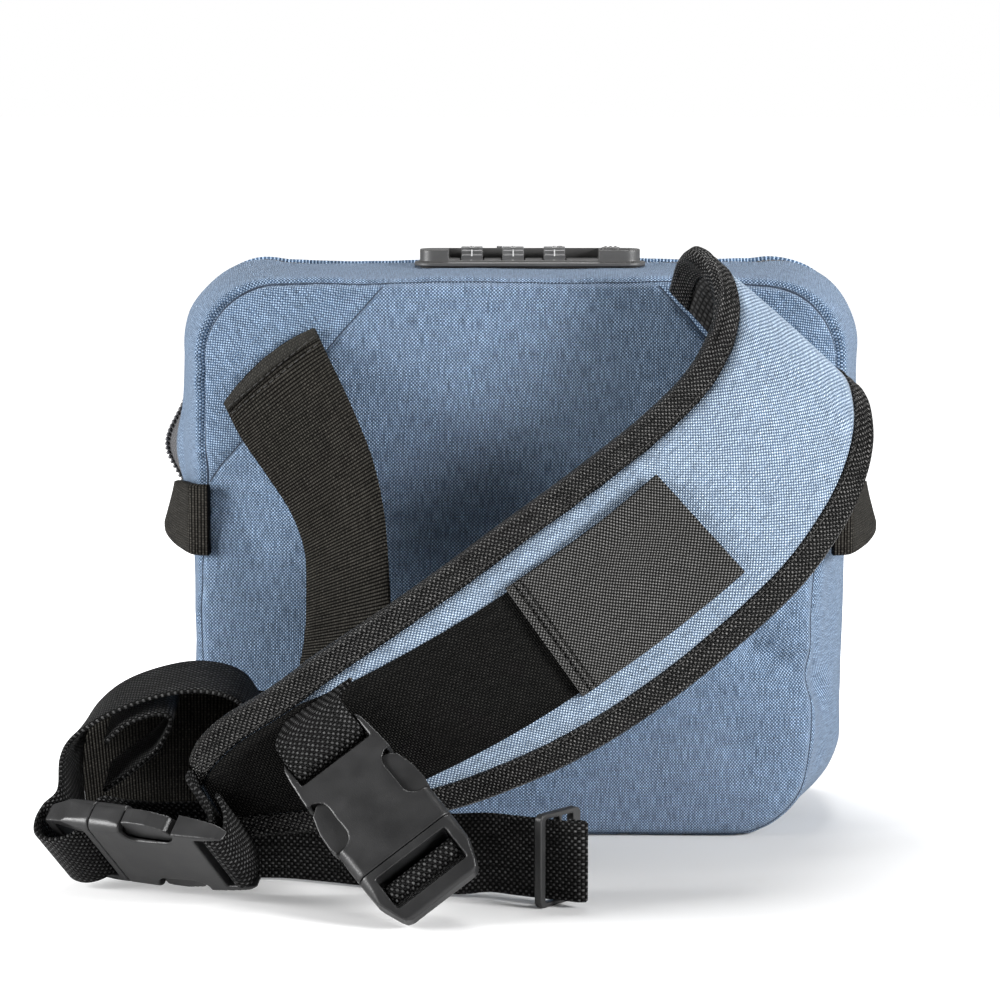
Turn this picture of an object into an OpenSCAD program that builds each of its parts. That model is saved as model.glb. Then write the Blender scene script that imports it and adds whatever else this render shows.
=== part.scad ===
// Small crossbody bag with a three-dial combination lock on its top, a padded
// shoulder strap, side-release buckles and a webbing slide.
// +X is the wearer's right, +Y points to the front of the bag, +Z is up.
// The origin is the middle of the flat underside.

/* [Bag body] */
// Width between the side seams
bag_w = 208; // [196:1:220]
// Height of the front and back panels
bag_h = 182; // [174:1:194]
// Depth between the front and back seams
bag_d = 80; // [76:1:86]
// Thickness of the lined fabric wall
wall = 2.4; // [2:0.2:3]
// How far the padded front and back stand out in the middle
crown = 6; // [4:0.5:8]
// Seam radius of the top corners
top_r = 26; // [22:1:30]
// Seam radius of the bottom corners
bottom_r = 28; // [22:1:34]
// How far the sides swell out beside the zip
side_swell = 7; // [5:0.5:9]
// How far the sides swell out low down
low_swell = 4; // [3:0.5:5]
// How far the top swells up
top_swell = 3; // [2:0.5:4]
// Thickness of the stiff board on the bottom
board_t = 2; // [1.5:0.5:3]

/* [Back corner panels] */
// Where the diagonal corner seam meets the top, from the corner
corner_top = 62; // [54:1:70]
// Where the diagonal corner seam meets the side, from the corner
corner_side = 67; // [60:1:74]

/* [Zip] */
// Height at which the zip ends and the front hinges open
open_z = 108; // [102:1:114]
// Distance of the zip in front of the middle of the bag
zip_y = 4; // [3:0.5:5]
// Width of each zip tape that shows beside the teeth
tape_w = 8; // [6.5:0.5:9]
// Thickness of the zip tape
tape_t = 1; // [0.8:0.1:1.2]
// Width of each half of the coil
coil_w = 2.8; // [2.4:0.1:3.2]
// Height of the coil above the tape
coil_h = 1.5; // [1.3:0.1:1.8]
// Length of a slider
slider_l = 10; // [8:0.5:11]
// Length of a pull tab
pull_l = 21; // [16:1:24]
// Width of a pull tab
pull_w = 7; // [6:0.5:8]

/* [Combination lock] */
// Length of the lock housing
lock_l = 72; // [70:1:76]
// Width of the lock housing
lock_w = 14; // [13:0.5:14.5]
// Height of the end blocks above the fabric
lock_rise = 5.2; // [4.4:0.2:6]
// Diameter of the number dials
dial_d = 13; // [12:0.5:13.5]
// Thickness of a number dial
dial_t = 7; // [6:0.5:8]
// Distance between two dials
dial_pitch = 13.5; // [12.5:0.5:14]
// Grip grooves round a dial
dial_grooves = 20; // [10:10:20]
// Diameter of the shaft that carries the dials
shaft_d = 3; // [2.5:0.25:3.5]
// Travel of the release slide
release_travel = 3; // [2:0.5:3.5]

/* [Webbing] */
// Width of the narrow webbing
webbing_w = 24.5; // [23:0.5:25.5]
// Width of the wide webbing
wide_w = 38; // [35:1:40]
// Thickness of the webbing
web_t = 1.5; // [1.2:0.1:1.7]

/* [Shoulder pad] */
// Width of the pad at its widest
pad_w = 75; // [70:1:78]
// Thickness of the pad
pad_t = 5; // [4:0.5:5.5]
// Width of the edge binding
binding_w = 9; // [7:0.5:10]
// How far the binding stands proud of each face
binding_proud = 0.7; // [0.5:0.1:0.9]

/* [Buckles] */
// Width of the wall on each side of the webbing slot
buckle_wall = 2; // [1.6:0.2:2.6]
// Width of a buckle at its widest
buckle_w = 34; // [33:0.5:36]
// Thickness of a buckle
buckle_t = 10; // [9:0.5:11]
// Length of the female half
female_l = 46; // [44:1:48]
// Length of the male half that shows
male_l = 19; // [18:0.5:20.5]
// Thickness of a latch arm
arm_t = 3; // [2.6:0.2:3.4]

/* [Webbing slide] */
// Length of the slide's frame along the strap
slide_l = 19; // [18:1:22]
// Thickness of the slide's frame
slide_t = 2.6; // [2.2:0.2:3]

/* [Hidden] */

$fn = 64;
fabric_blue = [0.42, 0.53, 0.67];
web_black = [0.09, 0.09, 0.10];
plastic_grey = [0.22, 0.22, 0.23];
zip_grey = [0.33, 0.33, 0.34];
run_gap = 0.3;        // clearance between pieces that move past each other
pin_gap = 0.15;       // clearance of a shaft in its bore, on the radius
seat_gap = 0.25;      // clearance of a moulding let into the fabric

half_w = bag_w / 2;
half_d = bag_d / 2;
straight_top = half_w - top_r;

// ---------- vectors ----------
function unit(v) = v / norm(v);
function mix(a, b, t) = a + (b - a) * t;
function clamp01(t) = max(0, min(1, t));
function ease(t) = let (c = clamp01(t)) c * c * (3 - 2 * c);
function xyz(v, i) = [v[i], v[i + 1], v[i + 2]];
function turned(a, v) =
    let (x = [v[0], v[1] * cos(a[0]) - v[2] * sin(a[0]), v[1] * sin(a[0]) + v[2] * cos(a[0])],
         y = [x[0] * cos(a[1]) + x[2] * sin(a[1]), x[1], x[2] * cos(a[1]) - x[0] * sin(a[1])])
    [y[0] * cos(a[2]) - y[1] * sin(a[2]), y[0] * sin(a[2]) + y[1] * cos(a[2]), y[2]];

// ---------- closed skins through rings of points ----------
module skin(rings) {
    n = len(rings[0]);
    m = len(rings);
    sides = [for (i = [0:m - 2], j = [0:n - 1])
        let (a = i * n + j, b = i * n + (j + 1) % n) each [[a, b + n, b], [a, a + n, b + n]]];
    first = [for (j = [0:n - 1]) j];
    last = [for (j = [n - 1:-1:0]) (m - 1) * n + j];
    polyhedron([for (r = rings) each r], concat([first], sides, [last]));
}

// ---------- the bag's seam line, as [x, z, outward x, outward z] ----------
arc_steps = 6;
function arc(cx, cz, r, a0, a1) = [for (i = [0:arc_steps])
    let (a = mix(a0, a1, i / arc_steps)) [cx + r * cos(a), cz + r * sin(a), cos(a), sin(a)]];
function seam_run(p, q, n) = [for (i = [1:n - 1]) mix(p, q, i / n)];
function upper_seam(z0) =
    let (l0 = [-half_w, z0, -1, 0], l1 = [-half_w, bag_h - top_r, -1, 0],
         t0 = [-straight_top, bag_h, 0, 1], t1 = [straight_top, bag_h, 0, 1],
         r1 = [half_w, bag_h - top_r, 1, 0], r0 = [half_w, z0, 1, 0])
    concat([l0], seam_run(l0, l1, 4), arc(-straight_top, bag_h - top_r, top_r, 180, 90),
        seam_run(t0, t1, 4), arc(straight_top, bag_h - top_r, top_r, 90, 0),
        seam_run(r1, r0, 4), [r0]);
function lower_seam() =
    let (a = [-half_w, open_z, -1, 0], b = [-half_w, bottom_r, -1, 0])
    concat(arc(-half_w + bottom_r, bottom_r, bottom_r, 270, 180), seam_run(b, a, 5), [a]);

swell_z = 60;         // the sides start to swell more above this height
swell_rise = 80;      // and reach their full swell this much higher
function swell(p, y) =
    (abs(p[2]) * (low_swell * ease(p[1] / bottom_r)
        + (side_swell - low_swell) * ease((p[1] - swell_z) / swell_rise))
        + max(p[3], 0) * top_swell) * (1 - pow(y / half_d, 2));
function on_side(p, y, off) = let (s = swell(p, y) + off) [p[0] + p[2] * s, y, p[1] + p[3] * s];

// A strip that follows the seam line; its profile is [y, offset] pairs
module seam_band(seam, profile) {
    skin([for (p = seam) [for (q = profile) on_side(p, q[0], q[1])]]);
}
function wall_profile(y0, y1, n) = concat(
    [for (i = [0:n]) [mix(y0, y1, i / n), -wall]],
    [for (i = [n:-1:0]) [mix(y0, y1, i / n), 0]]);

// ---------- padded front and back panels ----------
function loop(g) =
    let (rt = max(top_r - g * 0.35, 6), rb = max(bottom_r - g * 0.35, 6), x = half_w - g)
    concat(arc(-x + rt, bag_h - g - rt, rt, 180, 90), arc(x - rt, bag_h - g - rt, rt, 90, 0),
        arc(x - rb, g + rb, rb, 0, -90), arc(-x + rb, g + rb, rb, -90, -180));
function loop_at(g, y) = [for (p = loop(g)) [p[0], y, p[1]]];
// How full the padding is at a distance inside the seam
pad_profile = [[0, 0], [5, 0.4], [13, 0.68], [26, 0.87], [44, 0.97], [62, 1]];
module padded_panel() {
    skin(concat([for (i = [len(pad_profile) - 1:-1:0])
            loop_at(pad_profile[i][0], -pad_profile[i][1] * crown)],
        [loop_at(wall, 0), loop_at(wall, wall)]));
}
module back_shape() translate([0, -half_d, 0]) padded_panel();
module front_shape() mirror([0, 1, 0]) back_shape();

// The triangle outside a diagonal corner seam, through the panel's thickness
module corner_prism() {
    over = 20;
    translate([-half_w, -half_d + wall + 1, bag_h]) rotate([90, 0, 0])
        linear_extrude(crown + wall + 3)
        polygon([[corner_top, 0], [0, -corner_side], [-over, -corner_side],
            [-over, over], [corner_top, over]]);
}

module back_panel() color(fabric_blue) difference() {
    back_shape();
    corner_prism();
    mirror([1, 0, 0]) corner_prism();
}
module back_corner_left() color(fabric_blue) intersection() {
    back_shape();
    corner_prism();
}
module back_corner_right() color(fabric_blue) mirror([1, 0, 0]) back_corner_left();

module front_half(z0, z1) intersection() {
    front_shape();
    translate([-bag_w, 0, z0]) cube([2 * bag_w, bag_d, z1 - z0]);
}
module front_panel_lower() color(fabric_blue) front_half(-1, open_z);
module front_panel_upper() color(fabric_blue) front_half(open_z + run_gap, bag_h + 1);

// ---------- gussets, side and bottom panels ----------
lock_x = 3;           // middle of the lock, left to right
lock_back = 18;       // its rear face, behind the middle of the bag
lock_y = -lock_back + lock_w / 2;
module lock_hole(h0, h1) {
    translate([lock_x, lock_y, h0]) linear_extrude(h1 - h0) lock_plan(seat_gap);
}
module rear_gusset() color(fabric_blue) difference() {
    seam_band(upper_seam(open_z), wall_profile(-half_d, zip_y - tape_w, 5));
    lock_hole(bag_h - 2 * wall, bag_h + top_swell + 1);
}
module front_gusset() color(fabric_blue)
    mirror([0, 1, 0]) seam_band(upper_seam(open_z + run_gap),
        wall_profile(-half_d, -zip_y - tape_w, 5));
module side_panel_left() color(fabric_blue)
    seam_band(lower_seam(), wall_profile(-half_d, half_d, 8));
module side_panel_right() color(fabric_blue) mirror([1, 0, 0]) side_panel_left();
module bottom_panel() color(fabric_blue)
    translate([-half_w + bottom_r, -half_d, 0]) cube([bag_w - 2 * bottom_r, bag_d, wall]);
module base_board() color([0.2, 0.2, 0.2]) {
    margin = 3;
    r = 6;
    translate([0, 0, wall]) linear_extrude(board_t)
        rounded(bag_w - 2 * bottom_r - 2 * margin, bag_d - 2 * wall - 2 * margin, r);
}
module rounded(l, w, r) {
    square([l - 2 * r, w], center = true);
    square([l, w - 2 * r], center = true);
    for (x = [-1, 1], y = [-1, 1]) translate([x * (l / 2 - r), y * (w / 2 - r)]) circle(r);
}

// ---------- zip ----------
tape_drop = 1.2;      // the tape lies this far below the fabric
split_gap = 0.15;     // half of the gap between the two coils
coil_top = coil_h - tape_drop;
zip_profile = [
    [-tape_w, -tape_drop - tape_t], [-split_gap, -tape_drop - tape_t],
    [-split_gap, coil_top - coil_h * 0.15], [-coil_w * 0.5, coil_top], [-coil_w * 0.85, coil_top - coil_h * 0.25],
    [-coil_w - split_gap, -tape_drop], [-tape_w, -tape_drop]];
module zip_rear() color(zip_grey)
    seam_band(upper_seam(open_z), [for (q = zip_profile) [q[0] + zip_y, q[1]]]);
module zip_front() color(zip_grey)
    mirror([0, 1, 0]) seam_band(upper_seam(open_z + run_gap),
        [for (q = zip_profile) [q[0] - zip_y, q[1]]]);

// Height of the fabric on the flat of the top at a given depth
function top_z(y) = bag_h + top_swell * (1 - pow(y / half_d, 2));
coil_z = top_z(zip_y) + coil_top;
slider_w = 2 * coil_w + 3;
plate_t = 1.4;
lip_h = coil_h * 0.7;
slider_x = 10;        // rest place of each slider beside the lock's middle
module slider_shape() {
    z0 = coil_z + run_gap;
    nose = slider_w * 0.3;
    translate([0, zip_y, z0]) linear_extrude(plate_t) slider_plan(slider_l, slider_w, nose);
    // front lip beside the coil
    translate([-slider_l / 2 + nose, zip_y + coil_w + split_gap + run_gap, z0 - lip_h])
        cube([slider_l - 2 * nose, slider_w / 2 - coil_w - split_gap - run_gap, lip_h + 0.1]);
    // bridge that holds the pull
    translate([0, zip_y, z0 + plate_t]) bridge();
}
module slider_plan(l, w, nose) polygon([
    [-l / 2, -w / 2 + nose], [-l / 2 + nose, -w / 2], [l / 2 - nose, -w / 2],
    [l / 2, -w / 2 + nose], [l / 2, w / 2 - nose], [l / 2 - nose, w / 2],
    [-l / 2 + nose, w / 2], [-l / 2, w / 2 - nose]]);
bridge_r = 2.6;
bridge_pin = 0.7;
bridge_l = 4.4;
module bridge() rotate([0, 90, 0]) translate([0, 0, -bridge_l / 2]) {
    for (z = [0, bridge_l - 1]) translate([0, 0, z]) linear_extrude(1) intersection() {
        circle(bridge_r);
        translate([-2 * bridge_r, -bridge_r]) square([2 * bridge_r, 2 * bridge_r]);
    }
    translate([-bridge_r + bridge_pin, 0, 0]) cylinder(h = bridge_l, r = bridge_pin);
}
pull_pivot_z = coil_z + run_gap + plate_t + bridge_r - bridge_pin;
module pull_shape() translate([0, zip_y, pull_pivot_z]) rotate([-8, 0, 0]) {
    eye_l = bridge_l - 2 - 2 * run_gap;
    // eye round the bridge's pin
    rotate([0, 90, 0]) translate([0, 0, -eye_l / 2]) difference() {
        cylinder(h = eye_l, r = bridge_pin + pin_gap + 0.7);
        translate([0, 0, -1]) cylinder(h = eye_l + 2, r = bridge_pin + pin_gap);
    }
    neck = bridge_r + 1.2;
    translate([-eye_l / 2, bridge_pin + pin_gap + 0.2, -0.7]) cube([eye_l, neck, 1.4]);
    translate([0, neck + pull_l / 2, -0.7]) linear_extrude(1.4) difference() {
        rounded(pull_w, pull_l, 2);
        translate([0, pull_l / 2 - 4]) rounded(pull_w - 3.4, 4, 1.2);
    }
}
module slider_left() color(plastic_grey) translate([lock_x - slider_x, 0, 0]) slider_shape();
module slider_right() color(plastic_grey) translate([lock_x + slider_x, 0, 0]) slider_shape();
module pull_left() color(plastic_grey) translate([lock_x - slider_x, 0, 0]) pull_shape();
module pull_right() color(plastic_grey) translate([lock_x + slider_x, 0, 0]) pull_shape();

// ---------- combination lock ----------
lock_corner = 5;
module lock_plan(grow) rounded(lock_l + 2 * grow, lock_w + 2 * grow, lock_corner + grow);
flange_t = 1.2;
flange_z = top_z(-lock_back + lock_w) + 0.05;
lock_top = flange_z + lock_rise;
dial_z = lock_top + 0.9 - dial_d / 2;
lock_floor = dial_z - dial_d / 2 - run_gap - 1;
lip_z = flange_z + flange_t + 0.8;       // top of the housing between its end blocks
dial_zone = 2 * dial_pitch + dial_t + 15;
dial_zone_x = -dial_zone / 2 - 2;      // its left end, from the middle of the lock
first_dial = dial_zone_x + 4 + dial_t / 2;
function dial_x(i) = lock_x + first_dial + i * dial_pitch;

module lock_housing() color(plastic_grey) difference() {
    translate([lock_x, lock_y, 0]) union() {
        difference() {
            translate([0, 0, lock_floor]) linear_extrude(lock_top - lock_floor) lock_plan(0);
            // lower middle, with rounded shoulders
            translate([dial_zone_x, -lock_w, lip_z]) cube([dial_zone, 2 * lock_w, lock_rise]);
        }
        translate([0, 0, flange_z]) linear_extrude(flange_t) lock_plan(1.8);
    }
    // a window for each dial
    for (i = [0:2]) translate([dial_x(i) - dial_t / 2 - run_gap, lock_y, dial_z]) rotate([0, 90, 0])
        cylinder(h = dial_t + 2 * run_gap, d = dial_d + 2 * run_gap);
    // seat of the dial shaft
    translate([dial_x(0) - dial_t / 2 - 3, lock_y, dial_z]) rotate([0, 90, 0])
        cylinder(h = 2 * dial_pitch + dial_t + 6, d = shaft_d);
    // pocket of the release slide
    translate([release_x + release_travel / 2, lock_y, lock_top - release_pocket])
        linear_extrude(release_pocket + 1)
        rounded(release_l + release_travel + 2 * run_gap, release_w + 2 * run_gap, 1.5);
    // screw holes from below
    for (x = [-1, 1]) translate([lock_x + x * screw_x, lock_y, lock_floor - 1])
        cylinder(h = screw_l + 1, d = screw_d);
}
shaft_l = 2 * dial_pitch + dial_t + 6;
module dial_shaft() color([0.6, 0.6, 0.62]) translate([dial_x(0) - dial_t / 2 - 3, lock_y, dial_z])
    rotate([0, 90, 0]) cylinder(h = shaft_l, d = shaft_d);
module dial(i) color([0.13, 0.13, 0.14]) translate([dial_x(i), lock_y, dial_z]) rotate([0, 90, 0])
    translate([0, 0, -dial_t / 2]) difference() {
        cylinder(h = dial_t, d = dial_d);
        translate([0, 0, -1]) cylinder(h = dial_t + 2, d = shaft_d + 2 * pin_gap);
        for (g = [0:dial_grooves - 1]) rotate([0, 0, (g + 0.5) * 360 / dial_grooves])
            translate([dial_d / 2 + 0.35, 0, -1]) cylinder(h = dial_t + 2, r = 0.9, $fn = 24);
    }
module dial_1() dial(0);
module dial_2() dial(1);
module dial_3() dial(2);
release_l = 6;
release_w = 5;
release_pocket = 1.4;
release_x = lock_x + lock_l / 2 - 9.5;
module lock_release() color([0.3, 0.3, 0.31])
    translate([release_x, lock_y, lock_top - release_pocket + 0.05]) {
        linear_extrude(release_pocket + 0.5) rounded(release_l, release_w, 1.2);
        for (x = [-1.6, 0, 1.6]) translate([x - 0.35, -release_w / 2 + 0.8, release_pocket + 0.4])
            cube([0.7, release_w - 1.6, 0.5]);
    }
// plate inside the bag that clamps the fabric under the flange
clamp_t = 1.6;
clamp_rim = 3;
clamp_z = top_z(-lock_back - clamp_rim) - wall - 0.15;
screw_x = lock_l / 2 - 6;
screw_d = 2.6;
screw_l = 8;
module lock_clamp() color(plastic_grey) translate([lock_x, lock_y, 0]) {
    // collar against the fabric
    translate([0, 0, clamp_z - clamp_t]) linear_extrude(clamp_t) difference() {
        lock_plan(clamp_rim);
        lock_plan(seat_gap);
    }
    // walls down to the cover
    translate([0, 0, lock_floor - clamp_t]) linear_extrude(clamp_z - lock_floor) difference() {
        lock_plan(1.6);
        lock_plan(seat_gap);
    }
    // cover under the housing
    translate([0, 0, lock_floor - clamp_t]) linear_extrude(clamp_t) difference() {
        lock_plan(1.6);
        for (x = [-1, 1]) translate([x * screw_x, 0]) circle(d = screw_d);
    }
}
module lock_screws() color([0.6, 0.6, 0.62])
    for (x = [-1, 1]) translate([lock_x + x * screw_x, lock_y, lock_floor - clamp_t]) {
        cylinder(h = screw_l, d = screw_d);
        translate([0, 0, -1.2]) difference() {
            cylinder(h = 1.2, d = 4.6);
            translate([-0.4, -3, -0.1]) cube([0.8, 6, 0.7]);
        }
    }

// ---------- routes of the straps ----------
// A place on a strap moves with the seams of the bag it hangs on
ref_w = 208;
ref_h = 182;
ref_d = 80;
ref_top_r = 26;
ref_crown = 6;
slack_z = 60;         // what lies lower than this stays on the ground
function hang(p) = [p[0] * bag_w / ref_w,
    p[1] - (bag_d - ref_d) / 2 - (crown - ref_crown),
    p[2] + (bag_h - ref_h) * clamp01((p[2] - slack_z) / (ref_h - slack_z - ref_top_r))];
// A station of a route: place, direction of the width, width
function stop(p, w, width) = concat(hang(p), unit(w), [width]);
function stop_at(b, p, w, width) = concat(at_buckle(b, p), unit(turned(b[1], w)), [width]);

// Smooth curve through the stations, u counting the stations
function curve(a, b, c, d, t) = 0.5 * (2 * b + (c - a) * t
    + (2 * a - 5 * b + 4 * c - d) * t * t + (3 * b - a - 3 * c + d) * t * t * t);
function spot(r, u) = let (n = len(r) - 1, i = max(0, min(floor(u), n - 1)))
    curve(r[max(i - 1, 0)], r[i], r[i + 1], r[min(i + 2, n)], u - i);
// A point on the strap: across its width and off its middle surface
look = 0.03;
function seat(r, u, across, off) =
    let (s = spot(r, u), n = len(r) - 1,
         t = unit(xyz(spot(r, min(u + look, n)), 0) - xyz(spot(r, max(u - look, 0)), 0)),
         w = unit(xyz(s, 3)))
    xyz(s, 0) + w * across + unit(cross(t, w)) * off;
// A strap along a route: its section is [share of half width, across, off] points
module strap(r, u0, u1, steps, section) {
    skin([for (i = [0:steps]) let (u = mix(u0, u1, i / steps), w = spot(r, u)[6] / 2)
        [for (q = section) seat(r, u, q[0] * w + q[1], q[2])]]);
}
module webbing(r, steps) strap(r, 0, len(r) - 1, steps,
    [[-1, 0, -web_t / 2], [1, 0, -web_t / 2], [1, 0, web_t / 2], [-1, 0, web_t / 2]]);

// ---------- shoulder pad ----------
// places down the middle of the pad, from the corner seam to its lower tip
pad_route = [
    stop([69, -47.6, 156], [0.68, 0, -0.73], pad_w * 0.86),
    stop([73.5, -52, 166], [0.73, 0, -0.68], pad_w * 0.88),
    stop([78, -59, 170], [0.75, 0, -0.66], pad_w * 0.90),
    stop([82.5, -66.5, 166], [0.74, 0, -0.67], pad_w * 0.90),
    stop([84.5, -73, 156.5], [0.72, 0, -0.69], pad_w * 0.90),
    stop([82.5, -77, 146], [0.72, 0, -0.69], pad_w * 0.90),
    stop([75, -82, 132], [0.72, -0.02, -0.70], pad_w * 0.92),
    stop([60, -86, 115], [0.69, -0.04, -0.72], pad_w * 0.97),
    stop([36, -90, 95], [0.60, -0.05, -0.80], pad_w),
    stop([15.5, -94.5, 80.5], [0.58, -0.07, -0.81], pad_w),
    stop([-3.5, -100, 68.5], [0.59, -0.07, -0.80], pad_w * 0.97),
    stop([-22, -105.5, 58.5], [0.62, -0.05, -0.78], pad_w * 0.92),
    stop([-41, -110, 49.5], [0.65, -0.03, -0.76], pad_w * 0.85),
    stop([-60, -113, 42], [0.62, 0, -0.78], pad_w * 0.72),
    stop([-77, -115, 37], [0.60, 0.02, -0.80], pad_w * 0.60),
    stop([-88.5, -115.5, 33], [0.52, 0.10, -0.85], pad_w * 0.48),
    stop([-94.5, -115, 29.5], [0.45, 0.10, -0.88], pad_w * 0.38)];
pad_end = len(pad_route) - 1;
pad_steps = 4 * pad_end;
// the pad is pressed flat where it is sewn into the corner seam
function pad_half(u) = pad_t / 2 * min(1, 0.35 + 0.65 * u);
// sections here are [share of half width, across, share of half thickness, off] points
module pad_strip(section) {
    skin([for (i = [0:pad_steps]) let (u = pad_end * i / pad_steps, w = spot(pad_route, u)[6] / 2)
        [for (q = section) seat(pad_route, u, q[0] * w + q[1], q[2] * pad_half(u) + q[3])]]);
}
pad_edge = binding_w + 0.1;
module shoulder_pad() color(fabric_blue) pad_strip([[-1, pad_edge, -1, 0],
    [1, -pad_edge, -1, 0], [1, -pad_edge, 1, 0], [-1, pad_edge, 1, 0]]);
// section of a binding, its side k counted from the upper edge to the lower
function edge(k) = [[k, 0, -1, -binding_proud * 0.2], [k, -k * 2, -1, -binding_proud],
    [k, -k * binding_w, -1, -binding_proud], [k, -k * binding_w, 1, binding_proud],
    [k, -k * 2, 1, binding_proud], [k, 0, 1, binding_proud * 0.2]];
module binding_upper() color(web_black) pad_strip(edge(-1));
module binding_lower() color(web_black) pad_strip([for (i = [5:-1:0]) edge(1)[i]]);

// webbing sewn along the pad, and the elastic sleeve round it
face_gap = 0.2;
module on_pad(u0, u1, steps, section) {
    strap(pad_route, u0, u1, steps, [for (q = section) [0, q[0], pad_t / 2 + face_gap + q[1]]]);
}
// it narrows with the pad towards the tip
module pad_webbing() color(web_black) skin([for (i = [30:4 * pad_end - 1])
    let (u = i / 4, w = min(wide_w / 2, spot(pad_route, u)[6] / 2 - pad_edge))
    [for (q = [[-w, 0], [w, 0], [w, web_t], [-w, web_t]])
        seat(pad_route, u, q[0], pad_t / 2 + face_gap + q[1])]]);
sleeve_t = 1.3;
sleeve_from = 7.25;   // stations between which it lies
sleeve_to = 9.5;
module webbing_sleeve() color([0.17, 0.17, 0.18]) {
    in = wide_w / 2 + 0.2;
    out = in + 1.2;
    top = web_t + face_gap;
    on_pad(sleeve_from, sleeve_to, 9, [[-out, top], [out, top], [out, top + sleeve_t * 0.6],
        [out - 1, top + sleeve_t], [1 - out, top + sleeve_t], [-out, top + sleeve_t * 0.6]]);
    // edges folded down on both sides of the webbing
    for (k = [-1, 1]) on_pad(sleeve_from, sleeve_to, 9,
        [for (q = [[-1, 0], [1, 0], [1, top + 0.1], [-1, top + 0.1]]) [k * (in + out) / 2 + q[0] * (out - in) / 2, q[1]]]);
}

// ---------- wide webbing from the left corner seam ----------
corner_route = [
    stop([-80.3, -46.3, 154.8], [0.77, 0, 0.64], wide_w),
    stop([-75, -51, 144.5], [0.77, -0.12, 0.60], wide_w),
    stop([-67, -58.5, 131.5], [0.74, -0.34, 0.55], wide_w),
    stop([-60, -64, 118.5], [0.70, -0.50, 0.50], wide_w),
    stop([-56, -67, 104.5], [0.68, -0.60, 0.42], wide_w),
    stop([-55, -68.5, 88.5], [0.70, -0.62, 0.33], wide_w),
    stop([-55, -69.5, 72.5], [0.74, -0.62, 0.22], wide_w),
    stop([-57, -71.5, 57], [0.78, -0.60, 0.10], wide_w),
    stop([-62.5, -75, 43], [0.78, -0.62, 0], wide_w * 0.94),
    stop([-71.5, -76.5, 36.5], [0.74, -0.42, 0.48], wide_w * 0.84),
    stop([-83, -75.5, 37.5], [0.30, 0.08, 0.94], wide_w * 0.94),
    stop([-96, -74.5, 39], [0.05, 0.02, 1], wide_w),
    stop([-110, -74.5, 39.5], [0, 0, 1], wide_w),
    stop([-122, -75.5, 38], [-0.05, 0, 1], wide_w),
    stop([-135.5, -79, 35], [-0.10, 0, 1], wide_w * 0.85)];
module corner_webbing() color(web_black) webbing(corner_route, 56);

// ---------- side-release buckles ----------
// place of the joint line's middle and turns about X, Y and Z; a buckle's own
// +Y runs to the end of its male half and its +Z is its face
buckle1 = [hang([-34.3, -146.8, 20.6]), [131, 145, 15]];
buckle2 = [hang([-123.2, -119.4, 16.9]), [0, 44, 61]];
function at_buckle(b, v) = b[0] + turned(b[1], v);
module on_buckle(b) translate(b[0]) rotate(b[1]) children();

slot_w = webbing_w + 0.9;
horn_w = slot_w + 2 * buckle_wall;
bar_r = 1.6;
female_bar = -female_l + 5;
slot_end = female_bar + bar_r + web_t + 2.2;
window_0 = -11;        // the latch windows lie between these
window_1 = -29;
cavity_w = buckle_w - 6;
cavity_t = buckle_t - 3.6;
waist_w = horn_w + 1.2;

module buckle_plan() polygon([
    [-buckle_w / 2, 0], [-buckle_w / 2, -7], [-waist_w / 2, slot_end + 3], [-horn_w / 2, slot_end - 4],
    [-horn_w / 2 + 0.6, -female_l + 2.5], [-horn_w / 2 + 2, -female_l],
    [horn_w / 2 - 2, -female_l], [horn_w / 2 - 0.6, -female_l + 2.5],
    [horn_w / 2, slot_end - 4], [waist_w / 2, slot_end + 3], [buckle_w / 2, -7], [buckle_w / 2, 0]]);
// thickness seen from the side, thin at the horns
module female_side() polygon([
    [0, -buckle_t / 2], [0, buckle_t / 2], [-6, buckle_t / 2], [-22, buckle_t / 2 - 0.8],
    [slot_end, buckle_t / 2 - 1.8], [-female_l + 4, 2.6], [-female_l, 1.6],
    [-female_l, -1.6], [-female_l + 4, -2.6], [slot_end, 1.8 - buckle_t / 2],
    [-22, 0.8 - buckle_t / 2], [-6, -buckle_t / 2]]);
module round_bar_block(w, t, r, h) {
    for (x = [-1, 1], z = [-1, 1]) translate([x * (w / 2 - r), z * (t / 2 - r)]) circle(r);
    square([w - 2 * r, t], center = true);
    square([w, t - 2 * r], center = true);
}
module female_half() {
    difference() {
        intersection() {
            translate([0, 0, -buckle_t / 2]) linear_extrude(buckle_t) buckle_plan();
            rotate([90, 0, 90]) translate([0, 0, -buckle_w / 2]) linear_extrude(buckle_w) female_side();
            translate([0, 0.01, 0]) rotate([90, 0, 0]) linear_extrude(female_l + 1)
                round_bar_block(buckle_w, buckle_t, 3.2);
        }
        // room for the latch arms and the guide
        translate([-cavity_w / 2, window_1 - 1.5, -cavity_t / 2]) cube([cavity_w, 1.5 - window_1 + 1, cavity_t]);
        // latch windows in both sides, with a rounded inner edge
        for (x = [-1, 1]) latch_window(x);
        // slot for the webbing
        translate([-slot_w / 2, -female_l - 1, -buckle_t]) cube([slot_w, slot_end + female_l + 1, 2 * buckle_t]);
    }
    // bar that the webbing loops round
    translate([-slot_w / 2 - 0.5, female_bar, 0]) rotate([0, 90, 0]) cylinder(h = slot_w + 1, r = bar_r);
}
window_mid = (window_0 + window_1) / 2;
window_l = window_0 - window_1;
window_deep = 6.5;    // depth of a latch window from the buckle's side
window_r = 4.5;       // and the radius of its inner corners
module latch_window(x) translate([x * buckle_w / 2, window_mid, -buckle_t])
    linear_extrude(2 * buckle_t) rounded(2 * window_deep, window_l, window_r);

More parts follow.
